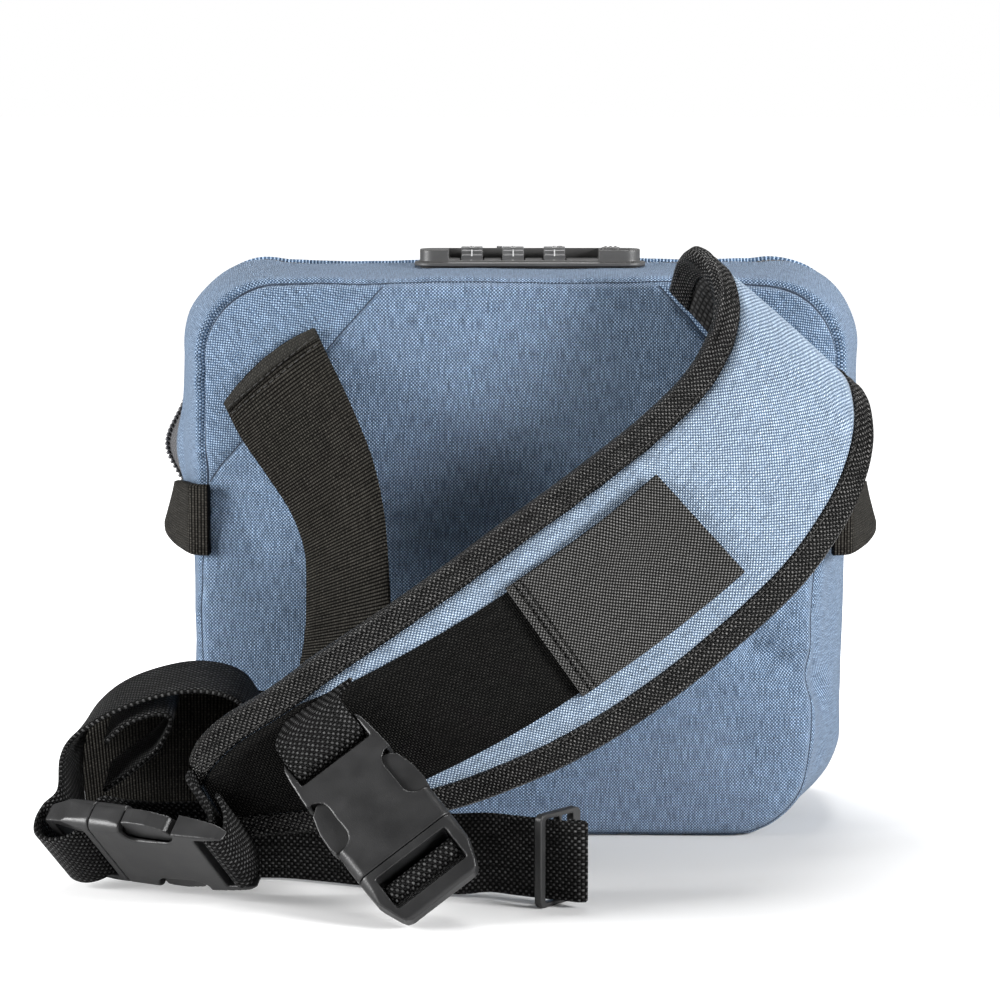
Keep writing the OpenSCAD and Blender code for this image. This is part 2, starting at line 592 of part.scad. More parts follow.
male_bar_y = male_l * 0.45;
male_slot = 4;
module male_plan() polygon([
    [-buckle_w / 2, 0.25], [-buckle_w / 2 + 0.3, male_l * 0.45], [-horn_w / 2 + 0.6, male_l - 3],
    [-horn_w / 2 + 1.6, male_l - 1], [-horn_w / 2 + 3.4, male_l], [horn_w / 2 - 3.4, male_l],
    [horn_w / 2 - 1.6, male_l - 1], [horn_w / 2 - 0.6, male_l - 3],
    [buckle_w / 2 - 0.3, male_l * 0.45], [buckle_w / 2, 0.25]]);
module male_side() polygon([
    [0, -buckle_t / 2], [0, buckle_t / 2], [male_l * 0.3, buckle_t / 2 - 0.3],
    [male_l - 1, 2.8], [male_l, 2], [male_l, -2], [male_l - 1, -2.8],
    [male_l * 0.3, 0.3 - buckle_t / 2]]);
male_win_0 = male_bar_y - bar_r - male_slot;
male_win_1 = male_bar_y + bar_r + male_slot;
slot_mid = male_win_0 + male_slot / 2;
guide_w = 4.6;
guide_l = 22;
module male_half() {
    difference() {
        intersection() {
            translate([0, 0, -buckle_t / 2]) linear_extrude(buckle_t) male_plan();
            rotate([90, 0, 90]) translate([0, 0, -buckle_w / 2]) linear_extrude(buckle_w) male_side();
            translate([0, male_l + 1, 0]) rotate([90, 0, 0]) linear_extrude(male_l + 2)
                round_bar_block(buckle_w, buckle_t, 3.2);
        }
        translate([-slot_w / 2, male_win_0, -buckle_t]) cube([slot_w, male_win_1 - male_win_0, 2 * buckle_t]);
    }
    translate([-slot_w / 2 - 0.5, male_bar_y, 0]) rotate([0, 90, 0]) cylinder(h = slot_w + 1, r = bar_r);
    // middle guide with a rounded tip
    translate([0, -guide_l, -guide_t / 2]) linear_extrude(guide_t) {
        translate([-guide_w / 2, 0]) square([guide_w, guide_l + 0.5]);
        circle(d = guide_w);
    }
    // roots of the latch arms
    for (x = [-1, 1]) translate([x * arm_x, arm_root, -guide_t / 2]) difference() {
        translate([-arm_t / 2 - 1, 0, 0]) cube([arm_t + 2, -arm_root + 0.4, guide_t]);
        translate([0, 0, -1]) cylinder(h = guide_t + 2, r = arm_pin + pin_gap);
    }
}
guide_t = cavity_t - 0.8;
arm_x = cavity_w / 2 - arm_t / 2 - 1.2;
arm_root = -2.6;
arm_pin = 1;
arm_tip = window_1 + 0.8;
// one latch arm, on the +X side: leg, thumb pad in the window and hooked shoulder
module latch_arm() {
    t = guide_t - 0.4;
    translate([0, 0, -t / 2]) linear_extrude(t) {
        translate([arm_x, arm_root]) circle(arm_pin);
        polygon([[arm_x - arm_t / 2, arm_root - arm_pin - 0.5], [arm_x - 0.6, arm_root], [arm_x + 0.6, arm_root],
            [arm_x + arm_t / 2, arm_root - arm_pin - 0.5],
            [arm_x + arm_t / 2, window_0 - 0.6], [buckle_w / 2 + 0.2, window_0 - 0.6],
            [buckle_w / 2 + 0.7, window_0 - 3.5], [buckle_w / 2 + 0.4, window_mid],
            [buckle_w / 2 - 1.2, window_1 + 3], [arm_x + arm_t / 2, arm_tip], [arm_x - arm_t / 2 + 0.6, arm_tip],
            [arm_x - arm_t / 2, arm_tip + 2]]);
    }
}
module buckle1_female() color(plastic_grey) on_buckle(buckle1) female_half();
module buckle1_male() color(plastic_grey) on_buckle(buckle1) male_half();
module buckle1_arm_right() color(plastic_grey) on_buckle(buckle1) latch_arm();
module buckle1_arm_left() color(plastic_grey) on_buckle(buckle1) mirror([1, 0, 0]) latch_arm();
module buckle2_female() color(plastic_grey) on_buckle(buckle2) female_half();
module buckle2_male() color(plastic_grey) on_buckle(buckle2) male_half();
module buckle2_arm_right() color(plastic_grey) on_buckle(buckle2) latch_arm();
module buckle2_arm_left() color(plastic_grey) on_buckle(buckle2) mirror([1, 0, 0]) latch_arm();

// ---------- narrow webbing ----------
// radius at which webbing rides round a bar, and its stations there
wrap_r = bar_r + web_t / 2 + 0.3;
function wrap(b, y, a0, a1, w) = [for (i = [0:4]) let (a = mix(a0, a1, i / 4))
    stop_at(b, [0, y + wrap_r * cos(a), wrap_r * sin(a)], w, webbing_w)];

// from the pad's upper edge round the bar of the first buckle's female half
stabiliser_u = 12.5;  // place along the pad where it comes out from under the binding
stabiliser_up = 18;   // and how far above the pad's middle
stabiliser_route = concat([
    concat(seat(pad_route, stabiliser_u, -stabiliser_up, pad_t / 2 + 1.5 * web_t + 7 * face_gap),
        unit([0.82, 0, 0.57]), [webbing_w]),
    stop_at(buckle1, [-1, female_bar - 11, 2.6], [-1, 0, 0], webbing_w),
    stop_at(buckle1, [0, female_bar - 5, 3], [-1, 0, 0], webbing_w)],
    wrap(buckle1, female_bar, 90, -90, [-1, 0, 0]),
    [stop_at(buckle1, [0, female_bar - 5, -wrap_r - 0.2], [-1, 0, 0], webbing_w),
     stop_at(buckle1, [0, female_bar - 8, -wrap_r - 0.2], [-1, 0, 0], webbing_w)]);
module stabiliser_webbing() color(web_black) webbing(stabiliser_route, 34);

// loop over the bar of the first buckle's male half, both legs behind it
buckle1_route = concat([
    stop_at(buckle1, [0, -15, -7.6], [-1, 0, 0], webbing_w),
    stop_at(buckle1, [0, -4, -7.4], [-1, 0, 0], webbing_w),
    stop_at(buckle1, [0, male_bar_y - wrap_r - 0.8, -5], [-1, 0, 0], webbing_w)],
    wrap(buckle1, male_bar_y, 180, 0, [-1, 0, 0]),
    [stop_at(buckle1, [0, male_bar_y + wrap_r - 0.3, -5], [-1, 0, 0], webbing_w),
     stop_at(buckle1, [0, male_bar_y - 1, -9], [-1, 0, 0], webbing_w),
     stop_at(buckle1, [0, -4, -10], [-1, 0, 0], webbing_w),
     stop_at(buckle1, [0, -13, -10], [-1, 0, 0], webbing_w)]);
module buckle1_webbing() color(web_black) webbing(buckle1_route, 44);

// from the pad's tip down through the slot of the second buckle's female half,
// round its bar and back up
pad_tip_route = concat([
    stop([-95.5, -116, 28.7], [0.42, 0.25, -0.87], webbing_w),
    stop([-96, -121, 28], [0.38, 0.45, -0.81], webbing_w),
    stop_at(buckle2, [0, female_bar + 9, 12.5], [1, 0, 0], webbing_w),
    stop_at(buckle2, [0, female_bar + 4, 7], [1, 0, 0], webbing_w),
    stop_at(buckle2, [0, female_bar + wrap_r + 0.1, 3], [1, 0, 0], webbing_w)],
    wrap(buckle2, female_bar, 0, -180, [1, 0, 0]),
    [stop_at(buckle2, [0, female_bar - wrap_r + 0.2, 4], [1, 0, 0], webbing_w),
     stop_at(buckle2, [0, female_bar, 9], [1, 0, 0], webbing_w),
     stop_at(buckle2, [0, female_bar + 5, 14], [1, 0, 0], webbing_w)]);
module pad_tip_webbing() color(web_black) webbing(pad_tip_route, 48);

// from the back of the second buckle's male half down to the ground and
// through the slide
slide_at = [8, -130.75];
slide_dir = unit([0.9, -0.425]);
slide_wall = 1.5;
slide_h = webbing_w + 1 + 2 * slide_wall;
slide_z = slide_h / 2 + 0.1;
function by_slide(s, n, z) = [slide_at[0] + slide_dir[0] * s - slide_dir[1] * n,
    slide_at[1] + slide_dir[1] * s + slide_dir[0] * n, z];
floor_route = [
    stop_at(buckle2, [0, slot_mid, 0.2], [1, 0, 0], webbing_w),
    stop_at(buckle2, [0, slot_mid - 0.2, 4.5], [1, 0, 0], webbing_w),
    stop_at(buckle2, [0, slot_mid - 2.8, 8.2], [1, 0, 0], webbing_w),
    stop([-116, -109.5, 20.5], [0.35, 0.60, -0.72], webbing_w),
    stop([-107, -104, 16.5], [0.25, 0.45, -0.85], webbing_w),
    stop([-98, -100, 13.8], [0.10, 0.20, -0.97], webbing_w),
    stop([-86, -98, 13], [0, 0, -1], webbing_w),
    stop([-72, -98.5, 12.9], [0, -0.05, -1], webbing_w),
    stop([-59, -101, 12.5], [0, -0.25, -0.97], webbing_w),
    stop([-45, -104.5, 11.6], [0, -0.45, -0.89], webbing_w),
    stop([-31, -111, 11.6], [0, -0.48, -0.88], webbing_w),
    stop(by_slide(-30, 0, 12.9), [0, -0.20, -0.98], webbing_w),
    stop(by_slide(-20, 0, slide_z), [0, 0, -1], webbing_w),
    stop(by_slide(-10, 0, slide_z), [0, 0, -1], webbing_w),
    stop(by_slide(0, 0, slide_z), [0, 0, -1], webbing_w),
    stop(by_slide(6, 0, slide_z), [0, 0, -1], webbing_w),
    stop(by_slide(9.5, 0, slide_z), [0, 0, -1], webbing_w),
    stop(by_slide(11.3, 1.2, slide_z), [0, 0, -1], webbing_w),
    stop(by_slide(9.5, 2.4, slide_z), [0, 0, -1], webbing_w),
    stop(by_slide(5, 2.4, slide_z), [0, 0, -1], webbing_w)];
module floor_webbing() color(web_black) webbing(floor_route, 84);

// loops of slack webbing heaped behind the second buckle
pile_route = [
    stop_at(buckle2, [0, slot_mid, -0.2], [1, 0, 0], webbing_w),
    stop_at(buckle2, [0, slot_mid + 0.5, -3.6], [1, 0, 0], webbing_w),
    stop_at(buckle2, [0, slot_mid + 4, -6.9], [1, 0, 0], webbing_w),
    stop_at(buckle2, [0, male_l - 5, -8.4], [1, 0, 0], webbing_w),
    stop_at(buckle2, [0, male_l + 0.5, -7], [1, 0, 0], webbing_w),
    stop_at(buckle2, [0, male_l + 3, -2.5], [1, 0, 0], webbing_w),
    stop_at(buckle2, [0, male_l + 2.8, 3], [1, 0, 0], webbing_w),
    stop_at(buckle2, [0, male_l + 1.5, 9], [1, 0.1, 0], webbing_w),
    stop([-139, -98, 34], [0.15, 0.85, -0.50], webbing_w),
    stop([-138, -93.5, 42.5], [0.05, 0.97, -0.20], webbing_w),
    stop([-133.5, -91, 49.5], [0, 0.99, 0.05], webbing_w),
    stop([-124.5, -90, 56], [0, 0.98, 0.18], webbing_w),
    stop([-111.5, -90, 60.8], [0, 0.98, 0.20], webbing_w),
    stop([-99, -90, 62.3], [0, 0.98, 0.20], webbing_w),
    stop([-88, -90, 59.3], [0.05, 0.98, 0.15], webbing_w),
    stop([-81, -90, 50.5], [0, 1, 0], webbing_w),
    stop([-78.5, -90, 40], [0, 1, 0], webbing_w),
    stop([-77, -91, 30], [-0.1, 0.99, 0], webbing_w)];
module pile_webbing() color(web_black) webbing(pile_route, 60);

curl_route = [
    stop([-128, -91, 46], [0, 0.98, 0.17], webbing_w),
    stop([-122, -91, 51.5], [0, 0.98, 0.17], webbing_w),
    stop([-114.5, -91, 54.5], [0, 0.98, 0.17], webbing_w),
    stop([-109, -91, 54.5], [0, 0.98, 0.17], webbing_w),
    stop([-108, -91, 51.5], [0, 0.98, 0.17], webbing_w),
    stop([-112.5, -91, 43.5], [0, 0.98, 0.17], webbing_w),
    stop([-121, -91, 36.5], [0, 0.98, 0.17], webbing_w),
    stop([-128.5, -91, 31], [0, 0.98, 0.17], webbing_w)];
module curl_webbing() color(web_black) webbing(curl_route, 28);

// ---------- webbing slide ----------
slide_turn = 50;
slide_slot = 6.4;
slide_bar = 2.4;
module webbing_slide() color(plastic_grey)
    translate(hang(by_slide(0, 0, slide_z))) rotate([0, 0, slide_turn]) rotate([90, 0, 0])
    translate([(slide_l - slide_slot) / 2 - slide_bar, 0, -slide_t / 2]) linear_extrude(slide_t)
    difference() {
        rounded(slide_l, slide_h, 2);
        translate([-slide_l / 2 + slide_bar + slide_slot / 2, 0])
            rounded(slide_slot, slide_h - 2 * slide_wall, 0.8);
        translate([slide_slot / 2, 0])
            rounded(slide_l - slide_slot - 3 * slide_bar, slide_h - 2 * slide_wall, 0.8);
    }

// ---------- webbing tabs that cover the ends of the zip ----------
tab_h = 23;
tab_z = open_z - 3;
tab_end_y = zip_y - coil_w - split_gap - 0.8;
// Each station stands off the side of the bag at a share of the tab's length, and is
// narrower towards the outer end
function tab_stop(share, off, lean, narrow) = let (y = mix(-half_d + 0.6, tab_end_y, share))
    [-half_w - swell([-half_w, tab_z, -1, 0], y) - off - web_t, y, tab_z, lean, 0, -1, tab_h * narrow];
// It starts on the back, just inside the seam, and turns round the edge
tab_route = [
    [3.6 - half_w, -half_d - crown * 0.3 - web_t - 0.5, tab_z, 0, 0, -1, tab_h],
    [0.6 - half_w, -half_d - web_t - 1.5, tab_z, 0, 0, -1, tab_h],
    [-half_w - 1.9, -half_d - 1, tab_z, 0, 0, -1, tab_h],
    tab_stop(0.12, 1.3, -0.03, 0.98), tab_stop(0.36, 2.5, -0.08, 0.92), tab_stop(0.66, 3.7, -0.18, 0.80),
    tab_stop(0.9, 4.3, -0.26, 0.66), tab_stop(1, 4.4, -0.30, 0.60)];
module zip_tab_left() color(web_black) strap(tab_route, 0, len(tab_route) - 1, 21,
    [[-1, 0, -web_t], [1, 0, -web_t], [1, 0, web_t], [-1, 0, web_t]]);
module zip_tab_right() color(web_black) mirror([1, 0, 0]) zip_tab_left();

back_panel();
back_corner_left();
back_corner_right();
rear_gusset();
side_panel_left();
side_panel_right();
bottom_panel();
base_board();
front_panel_lower();
zip_rear();
zip_tab_left();
zip_tab_right();
front_panel_upper();
front_gusset();
zip_front();
slider_left();
slider_right();
pull_left();
pull_right();
lock_housing();
lock_clamp();
lock_screws();
dial_shaft();
dial_1();
dial_2();
dial_3();
lock_release();
corner_webbing();
shoulder_pad();
binding_upper();
binding_lower();
pad_webbing();
webbing_sleeve();
stabiliser_webbing();
buckle1_female();
buckle1_male();
buckle1_arm_left();
buckle1_arm_right();
buckle1_webbing();
pad_tip_webbing();
buckle2_female();
buckle2_male();
buckle2_arm_left();
buckle2_arm_right();
pile_webbing();
curl_webbing();
floor_webbing();
webbing_slide();
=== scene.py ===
# Small crossbody bag in blue heather cloth with a three-dial combination lock on its
# top, a padded shoulder strap, side-release buckles and a webbing slide. Metres, +Z up,
# +X the wearer's right, the bag's back to -Y.
import math

import bmesh
import bpy
from mathutils import Euler, Matrix, Vector, noise


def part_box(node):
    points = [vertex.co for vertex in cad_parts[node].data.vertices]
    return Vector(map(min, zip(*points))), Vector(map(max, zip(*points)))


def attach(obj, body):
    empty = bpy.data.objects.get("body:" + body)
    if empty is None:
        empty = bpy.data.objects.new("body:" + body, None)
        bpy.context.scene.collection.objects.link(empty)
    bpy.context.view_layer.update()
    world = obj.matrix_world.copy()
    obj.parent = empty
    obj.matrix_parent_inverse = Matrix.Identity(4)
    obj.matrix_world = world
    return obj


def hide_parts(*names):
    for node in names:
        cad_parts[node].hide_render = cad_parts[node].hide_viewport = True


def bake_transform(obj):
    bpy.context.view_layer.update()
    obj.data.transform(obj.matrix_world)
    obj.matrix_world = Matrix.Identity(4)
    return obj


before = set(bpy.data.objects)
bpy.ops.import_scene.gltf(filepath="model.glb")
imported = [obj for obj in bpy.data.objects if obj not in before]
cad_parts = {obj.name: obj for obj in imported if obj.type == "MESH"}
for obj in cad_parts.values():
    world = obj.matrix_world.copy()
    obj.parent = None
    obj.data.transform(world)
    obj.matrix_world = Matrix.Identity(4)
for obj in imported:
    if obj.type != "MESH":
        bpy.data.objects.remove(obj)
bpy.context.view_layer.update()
bpy.context.scene.view_settings.view_transform = "Standard"


# ---- camera ----
# A long lens a little above the middle of the bag, square to its back and tilted down,
# so that the lock on the top just shows.
def add_object(name, data):
    """Puts a new object in the scene."""
    made = bpy.data.objects.new(name, data)
    bpy.context.scene.collection.objects.link(made)
    return made


camera = add_object("camera", bpy.data.cameras.new("camera"))
camera.data.sensor_width = 36
camera.data.lens = 122.76
camera.location = (-0.0068, -1.13059, 0.25458)
camera.rotation_euler = (math.radians(82.5), 0, 0)
bpy.context.scene.camera = camera


# ---- floor and lamps ----
# A plain white table under a pale sky, a soft lamp on each side and a weaker one
# overhead and behind.
def feed(tree, node, inputs):
    """Gives a node its inputs, each a value or a socket."""
    for name, value in inputs.items():
        if isinstance(value, bpy.types.NodeSocket):
            tree.links.new(value, node.inputs[name])
        else:
            node.inputs[name].default_value = value
    return node


def put(tree, kind, inputs=None, **settings):
    """Adds a node with its settings and its inputs."""
    made = tree.nodes.new(kind)
    for name, value in settings.items():
        setattr(made, name, value)
    return feed(tree, made, inputs or {})


def calc(tree, operation, a, b=0.0):
    return put(tree, "ShaderNodeMath", {0: a, 1: b}, operation=operation).outputs[0]


def mapped(tree, value, low, high, to_low, to_high):
    """A value carried over from one range to another."""
    return put(tree, "ShaderNodeMapRange", {"Value": value, "From Min": low, "From Max": high,
                                            "To Min": to_low, "To Max": to_high}).outputs[0]


def object_place(tree):
    return put(tree, "ShaderNodeTexCoord").outputs["Object"]


def new_material(name):
    made = bpy.data.materials.new(name)
    made.use_nodes = True
    return made, made.node_tree, made.node_tree.nodes["Principled BSDF"]


table_white, tree, shader = new_material("table_white")
# the table is left to the lamps in front of the bag and fades to white away from it
seen = put(tree, "ShaderNodeLightPath").outputs["Is Camera Ray"]
away = put(tree, "ShaderNodeVectorMath", {0: object_place(tree), 1: (0.06, -0.07, 0)},
           operation="DISTANCE").outputs["Value"]
glow = calc(tree, "MULTIPLY", seen, mapped(tree, away, 0.07, 0.36, 0.0, 1.0))
feed(tree, shader, {"Base Color": (0.78, 0.78, 0.78, 1), "Roughness": 0.9,
                    "Specular IOR Level": 0.1, "Emission Color": (1, 1, 1, 1),
                    "Emission Strength": glow})

bm = bmesh.new()
bmesh.ops.create_grid(bm, x_segments=4, y_segments=4, size=12)
floor_mesh = bpy.data.meshes.new("table")
bm.to_mesh(floor_mesh)
bm.free()
floor_mesh.materials.append(table_white)
table = add_object("table", floor_mesh)

world = bpy.data.worlds.new("sky")
bpy.context.scene.world = world
world.use_nodes = True
sky = world.node_tree
path = put(sky, "ShaderNodeLightPath").outputs
direct = calc(sky, "MAXIMUM", path["Is Camera Ray"], path["Is Transmission Ray"])
feed(sky, sky.nodes["Background"], {"Color": (1, 1, 1, 1),
                                    "Strength": mapped(sky, direct, 0.0, 1.0, 0.15, 1.0)})


def lamp(name, place, aim, size, power):
    data = bpy.data.lights.new(name, "AREA")
    data.size = size
    data.energy = power
    made = add_object(name, data)
    made.location = place
    made.rotation_euler = (Vector(aim) - Vector(place)).to_track_quat("-Z", "Y").to_euler()


lamp("lamp_left", (-0.90, -0.36, 0.32), (-0.03, -0.05, 0.1), size=0.40, power=12.5)
lamp("lamp_right", (0.82, -0.52, 0.40), (0.05, -0.05, 0.1), size=0.30, power=13.5)
lamp("lamp_top", (0.06, 0.38, 1.05), (0, -0.04, 0.1), size=0.5, power=8.5)


# ---- cloth of the body ----
# Heather cloth: a plain weave of pale and dark blue melange yarns over thin padding,
# lined with grey taffeta. Each weave is laid along the cloth's own flat coordinates.
def mix_colour(tree, factor, a, b):
    return put(tree, "ShaderNodeMix", {0: factor, 6: a, 7: b}, data_type="RGBA").outputs[2]


def scaled(tree, colour, gain):
    return put(tree, "ShaderNodeVectorMath", {0: colour, 3: gain}, operation="SCALE").outputs[0]


def speckle(tree, place, scale, detail=2.0):
    return put(tree, "ShaderNodeTexNoise", {"Vector": place, "Scale": scale,
                                            "Detail": detail}).outputs["Fac"]


weave = bpy.data.node_groups.new("plain_weave", "ShaderNodeTree")


def times(a, b):
    return calc(weave, "MULTIPLY", a, b)


def plus(a, b):
    return calc(weave, "ADD", a, b)


def minus(a, b):
    return calc(weave, "SUBTRACT", a, b)


for name, kind in (("Place", "Vector"), ("Across", "Float"), ("Along", "Float"), ("Warp", "Color"),
                   ("Weft", "Color"), ("Melange", "Float"), ("Gap_Shade", "Float"), ("Highlight_Sharp", "Float"),
                   ("Bead", "Float"), ("Wander", "Float")):
    weave.interface.new_socket(name, in_out="INPUT", socket_type="NodeSocket" + kind)
for name, kind in (("Color", "Color"), ("Height", "Float")):
    weave.interface.new_socket(name, in_out="OUTPUT", socket_type="NodeSocket" + kind)
given = weave.nodes.new("NodeGroupInput").outputs
flat = put(weave, "ShaderNodeSeparateXYZ", {0: given["Place"]}).outputs
# slow wander of the yarns, so that no row is ruler-straight
wander = times(minus(speckle(weave, given["Place"], 55.0, 1.0), 0.5), given["Wander"])
a = plus(times(flat["X"], given["Across"]), wander)
b = plus(times(flat["Y"], given["Along"]), wander)
rounds = [calc(weave, "SINE", times(value, math.pi)) for value in (a, b)]
over = calc(weave, "GREATER_THAN", times(*rounds), 0.0)
beads, rows = [calc(weave, "POWER", calc(weave, "ABSOLUTE", value), 0.6) for value in rounds]
beads = minus(1.0, times(minus(1.0, beads), given["Bead"]))
height = times(beads, rows)
# the melange's flecks are long along their own yarn
FLECK_STRETCH = 0.12
yarns = []
for tone, x, y, layer in (("Warp", a, times(b, FLECK_STRETCH), 0.0),
                          ("Weft", times(a, FLECK_STRETCH), b, 9.0)):
    row = put(weave, "ShaderNodeCombineXYZ", {0: x, 1: y, 2: layer}).outputs[0]
    fleck = times(minus(speckle(weave, row, 0.9, 1.5), 0.5), given["Melange"])
    yarns.append(scaled(weave, given[tone], plus(times(fleck, 5.0), 1.0)))
colour = mix_colour(weave, over, yarns[1], yarns[0])
# painted shade in the gaps between the yarns and painted highlights on their crests,
# and a slow blotch over the whole cloth
# the crests' painted highlight and the gaps' painted shade
crest_light = calc(weave, "POWER", height, given["Highlight_Sharp"])
depth = plus(times(crest_light, minus(1.0, given["Gap_Shade"])), given["Gap_Shade"])
blotch = speckle(weave, given["Place"], 28.0, 3.0)
depth = times(depth, plus(times(blotch, 0.3), 0.85))
put(weave, "NodeGroupOutput", {"Color": scaled(weave, colour, depth), "Height": height})


def cloth(name, across, along, warp, weft, melange=0.3, gap_shade=0.5, rough=0.85, relief=0.5,
          sheen=0.0, lift=0.00025, highlight_sharp=1.0, shine=0.25, bead=1.0, wander=0.5, fuzz=None):
    """A woven material, its yarn spacing in metres; fuzz is its tone where seen edge-on.
    The gap tone is painted shade between the yarns, and the sharp power narrows painted
    highlights on their crests.
    """
    made, tree, shader = new_material(name)
    place = put(tree, "ShaderNodeAttribute", attribute_name="cloth").outputs["Vector"]
    group = put(tree, "ShaderNodeGroup", {
        "Place": place, "Across": 1 / across, "Along": 1 / along, "Warp": (*warp, 1),
        "Weft": (*weft, 1), "Melange": melange, "Gap_Shade": gap_shade, "Highlight_Sharp": highlight_sharp, "Bead": bead,
        "Wander": wander}, node_tree=weave).outputs
    tone = group["Color"]
    if fuzz:
        slant = put(tree, "ShaderNodeLayerWeight", {"Blend": 0.5}).outputs["Facing"]
        tone = mix_colour(tree, mapped(tree, slant, 0.55, 0.9, 0.0, 0.7), tone, (*fuzz, 1))
    bump = put(tree, "ShaderNodeBump", {"Height": group["Height"], "Strength": relief,
                                        "Distance": lift}).outputs[0]
    feed(tree, shader, {"Base Color": tone, "Normal": bump, "Roughness": rough,
                        "Specular IOR Level": shine, "Sheen Weight": sheen})
    return made


heather = cloth("heather_cloth", 0.00056, 0.00056, (0.36, 0.48, 0.65), (0.055, 0.107, 0.195),
                melange=0.45, gap_shade=0.42, rough=0.9, relief=0.8, sheen=0.1, shine=0.15, wander=1.3,
                fuzz=(0.135, 0.185, 0.26))
lining = cloth("grey_lining", 0.0006, 0.0006, (0.10, 0.10, 0.105), (0.06, 0.06, 0.065),
               melange=0.1, gap_shade=0.8, rough=0.6, relief=0.2)

HALF_W, HALF_D, TALL = 0.104, 0.040, 0.182
TOP_R, LOW_R, CROWN = 0.026, 0.028, 0.006
SIDE_SWELL, LOW_SWELL, TOP_SWELL = 0.007, 0.004, 0.003
ZIP_END, ZIP_Y, TAPE_W = 0.108, 0.004, 0.008
MIDDLE = TALL / 2
# the seams' width and least depth, and what they gain in depth at the top corners
SEAM_W, SEAM_LEAST, SEAM_MORE = 0.0016, 0.0010, 0.0022
# height at which the left end of the zip stands out a little above its tab
BULGE_Z = 0.124


def ease(t):
    t = min(max(t, 0.0), 1.0)
    return t * t * (3 - 2 * t)


def hump(t):
    """A smooth rise and fall round t = 0."""
    return math.exp(-(t ** 2))


def distance_to(p, start, end):
    run = end - start
    t = min(max((p - start).dot(run) / run.length_squared, 0.0), 1.0)
    return (p - start - run * t).length


# soft dents: start, end, width and depth
DENTS = [
    (Vector((0.077, -0.047, 0.063)), Vector((0.112, -0.022, 0.040)), 0.0055, 0.0042),
    (Vector((0.096, -0.040, 0.090)), Vector((0.098, -0.036, 0.050)), 0.004, 0.002),
    (Vector((0.070, -0.046, 0.030)), Vector((0.100, -0.034, 0.022)), 0.007, 0.0018),
    (Vector((-0.104, -0.042, 0.120)), Vector((-0.085, -0.046, 0.098)), 0.006, 0.0018),
    (Vector((-0.030, -0.046, 0.150)), Vector((0.045, -0.046, 0.138)), 0.016, 0.0012)]

# the ripple is the same in each run
noise.seed_set(4)


def settle(p):
    """How the soft cloth lies: the low right seam leans in, dents and a slow ripple."""
    low = ease((0.135 - p.z) / 0.07) * ease(-p.y / HALF_D) * ease(p.x / HALF_W)
    p = Vector((p.x - 0.0085 * low, p.y, p.z))
    inward = Vector((-p.x * 0.3, -p.y, 0)).normalized()
    for start, end, width, depth in DENTS:
        p = p + inward * depth * hump(distance_to(p, start, end) / width)
    ripple = noise.noise_vector(p * 34) * 0.0009 + noise.noise_vector(p * 95) * 0.00025
    ripple.z *= ease(p.z / 0.02)
    p = p + ripple
    p.z = max(p.z, 0.0002)
    return p


def past_bend(x, z):
    """Radius of the nearest corner, and how far x and z lie beyond the start of its bend."""
    r = TOP_R if z > MIDDLE else LOW_R
    return r, abs(x) - (HALF_W - r), abs(z - MIDDLE) - (MIDDLE - r)


def inset(x, z):
    """Distance inside the seam line of the front and back."""
    r, qx, qz = past_bend(x, z)
    return r - math.hypot(max(qx, 0), max(qz, 0)) - min(max(qx, qz), 0)


def round_corner(x, z):
    """Draws the corners of a rectangle of cloth in to the seam radius."""
    r, qx, qz = past_bend(x, z)
    if qx <= 0 or qz <= 0:
        return x, z
    a, b = qx / r, qz / r
    k = max(a, b) / math.hypot(a, b) * r
    return (math.copysign(HALF_W - r + a * k, x),
            MIDDLE + math.copysign(MIDDLE - r + b * k, z - MIDDLE))


def seam_depth(x, z):
    """The seam is pulled in deepest round the top corners."""
    corner = math.hypot(abs(x) - HALF_W + 0.006, z - TALL + 0.030)
    return SEAM_LEAST + SEAM_MORE * hump(corner / 0.036)


def dense(t):
    """Draws the rows of a grid together towards both of its edges."""
    return t * 1.35 - 0.35 * t ** 3


def outward(x, z):
    """Direction away from the middle, square to the seam line."""
    r, qx, qz = past_bend(x, z)
    way = (max(qx, 0), max(qz, 0)) if max(qx, qz) > 0 else (qx > qz, qx <= qz)
    return Vector((math.copysign(way[0], x), 0, math.copysign(way[1], z - MIDDLE))).normalized()


def pucker(along, depth):
    """Small gathers of the cloth beside a seam, fading with the distance from it."""
    gather = 0.0006 * noise.noise(Vector((along * 210, 0, 0))) * math.exp(-depth / 0.006)
    return gather * ease(depth / 0.002)


def finish_piece(name, bm, materials, body=None, smooth=True):
    """Turns a bmesh into a finished piece with its materials and body."""
    mesh = bpy.data.meshes.new(name)
    bm.to_mesh(mesh)
    bm.free()
    for material in materials:
        mesh.materials.append(material)
    if smooth:
        mesh.shade_smooth()
    made = add_object(name, mesh)
    if body:
        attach(made, body)
    return made


def thicken(piece, thickness):
    """Gives a cover its wall, inwards from the outer face and lined on the inside."""
    wall = piece.modifiers.new("wall", "SOLIDIFY")
    wall.thickness = thickness
    wall.offset = -1.0
    wall.material_offset = 1


# the corner panels' diagonal seams start this far down the side and along the top
CORNER_CUT, CORNER_RUN = 0.067, 0.062
DIAGONAL = Vector((CORNER_CUT, 0, CORNER_RUN)).normalized()


def past_diagonal(x, z):
    """Distance beyond the diagonal seam of a corner panel."""
    return Vector((abs(x) - HALF_W, 0, z - TALL + CORNER_CUT)).dot(DIAGONAL)


def panel_spot(side, x, z):
    """A place on the padded front (+1) or back (-1), crowned inside its seam."""
    d = inset(x, z)
    full = CROWN * (1 - math.exp(-d / 0.0105)) + pucker(x + z, d)
    drawn = seam_depth(x, z) * hump(d / SEAM_W)
    if side < 0:
        full -= 0.0008 * hump(past_diagonal(x, z) / 0.0009) * ease(d / 0.004)
    return settle(Vector((x, side * (HALF_D + full - drawn), z)) - outward(x, z) * drawn)


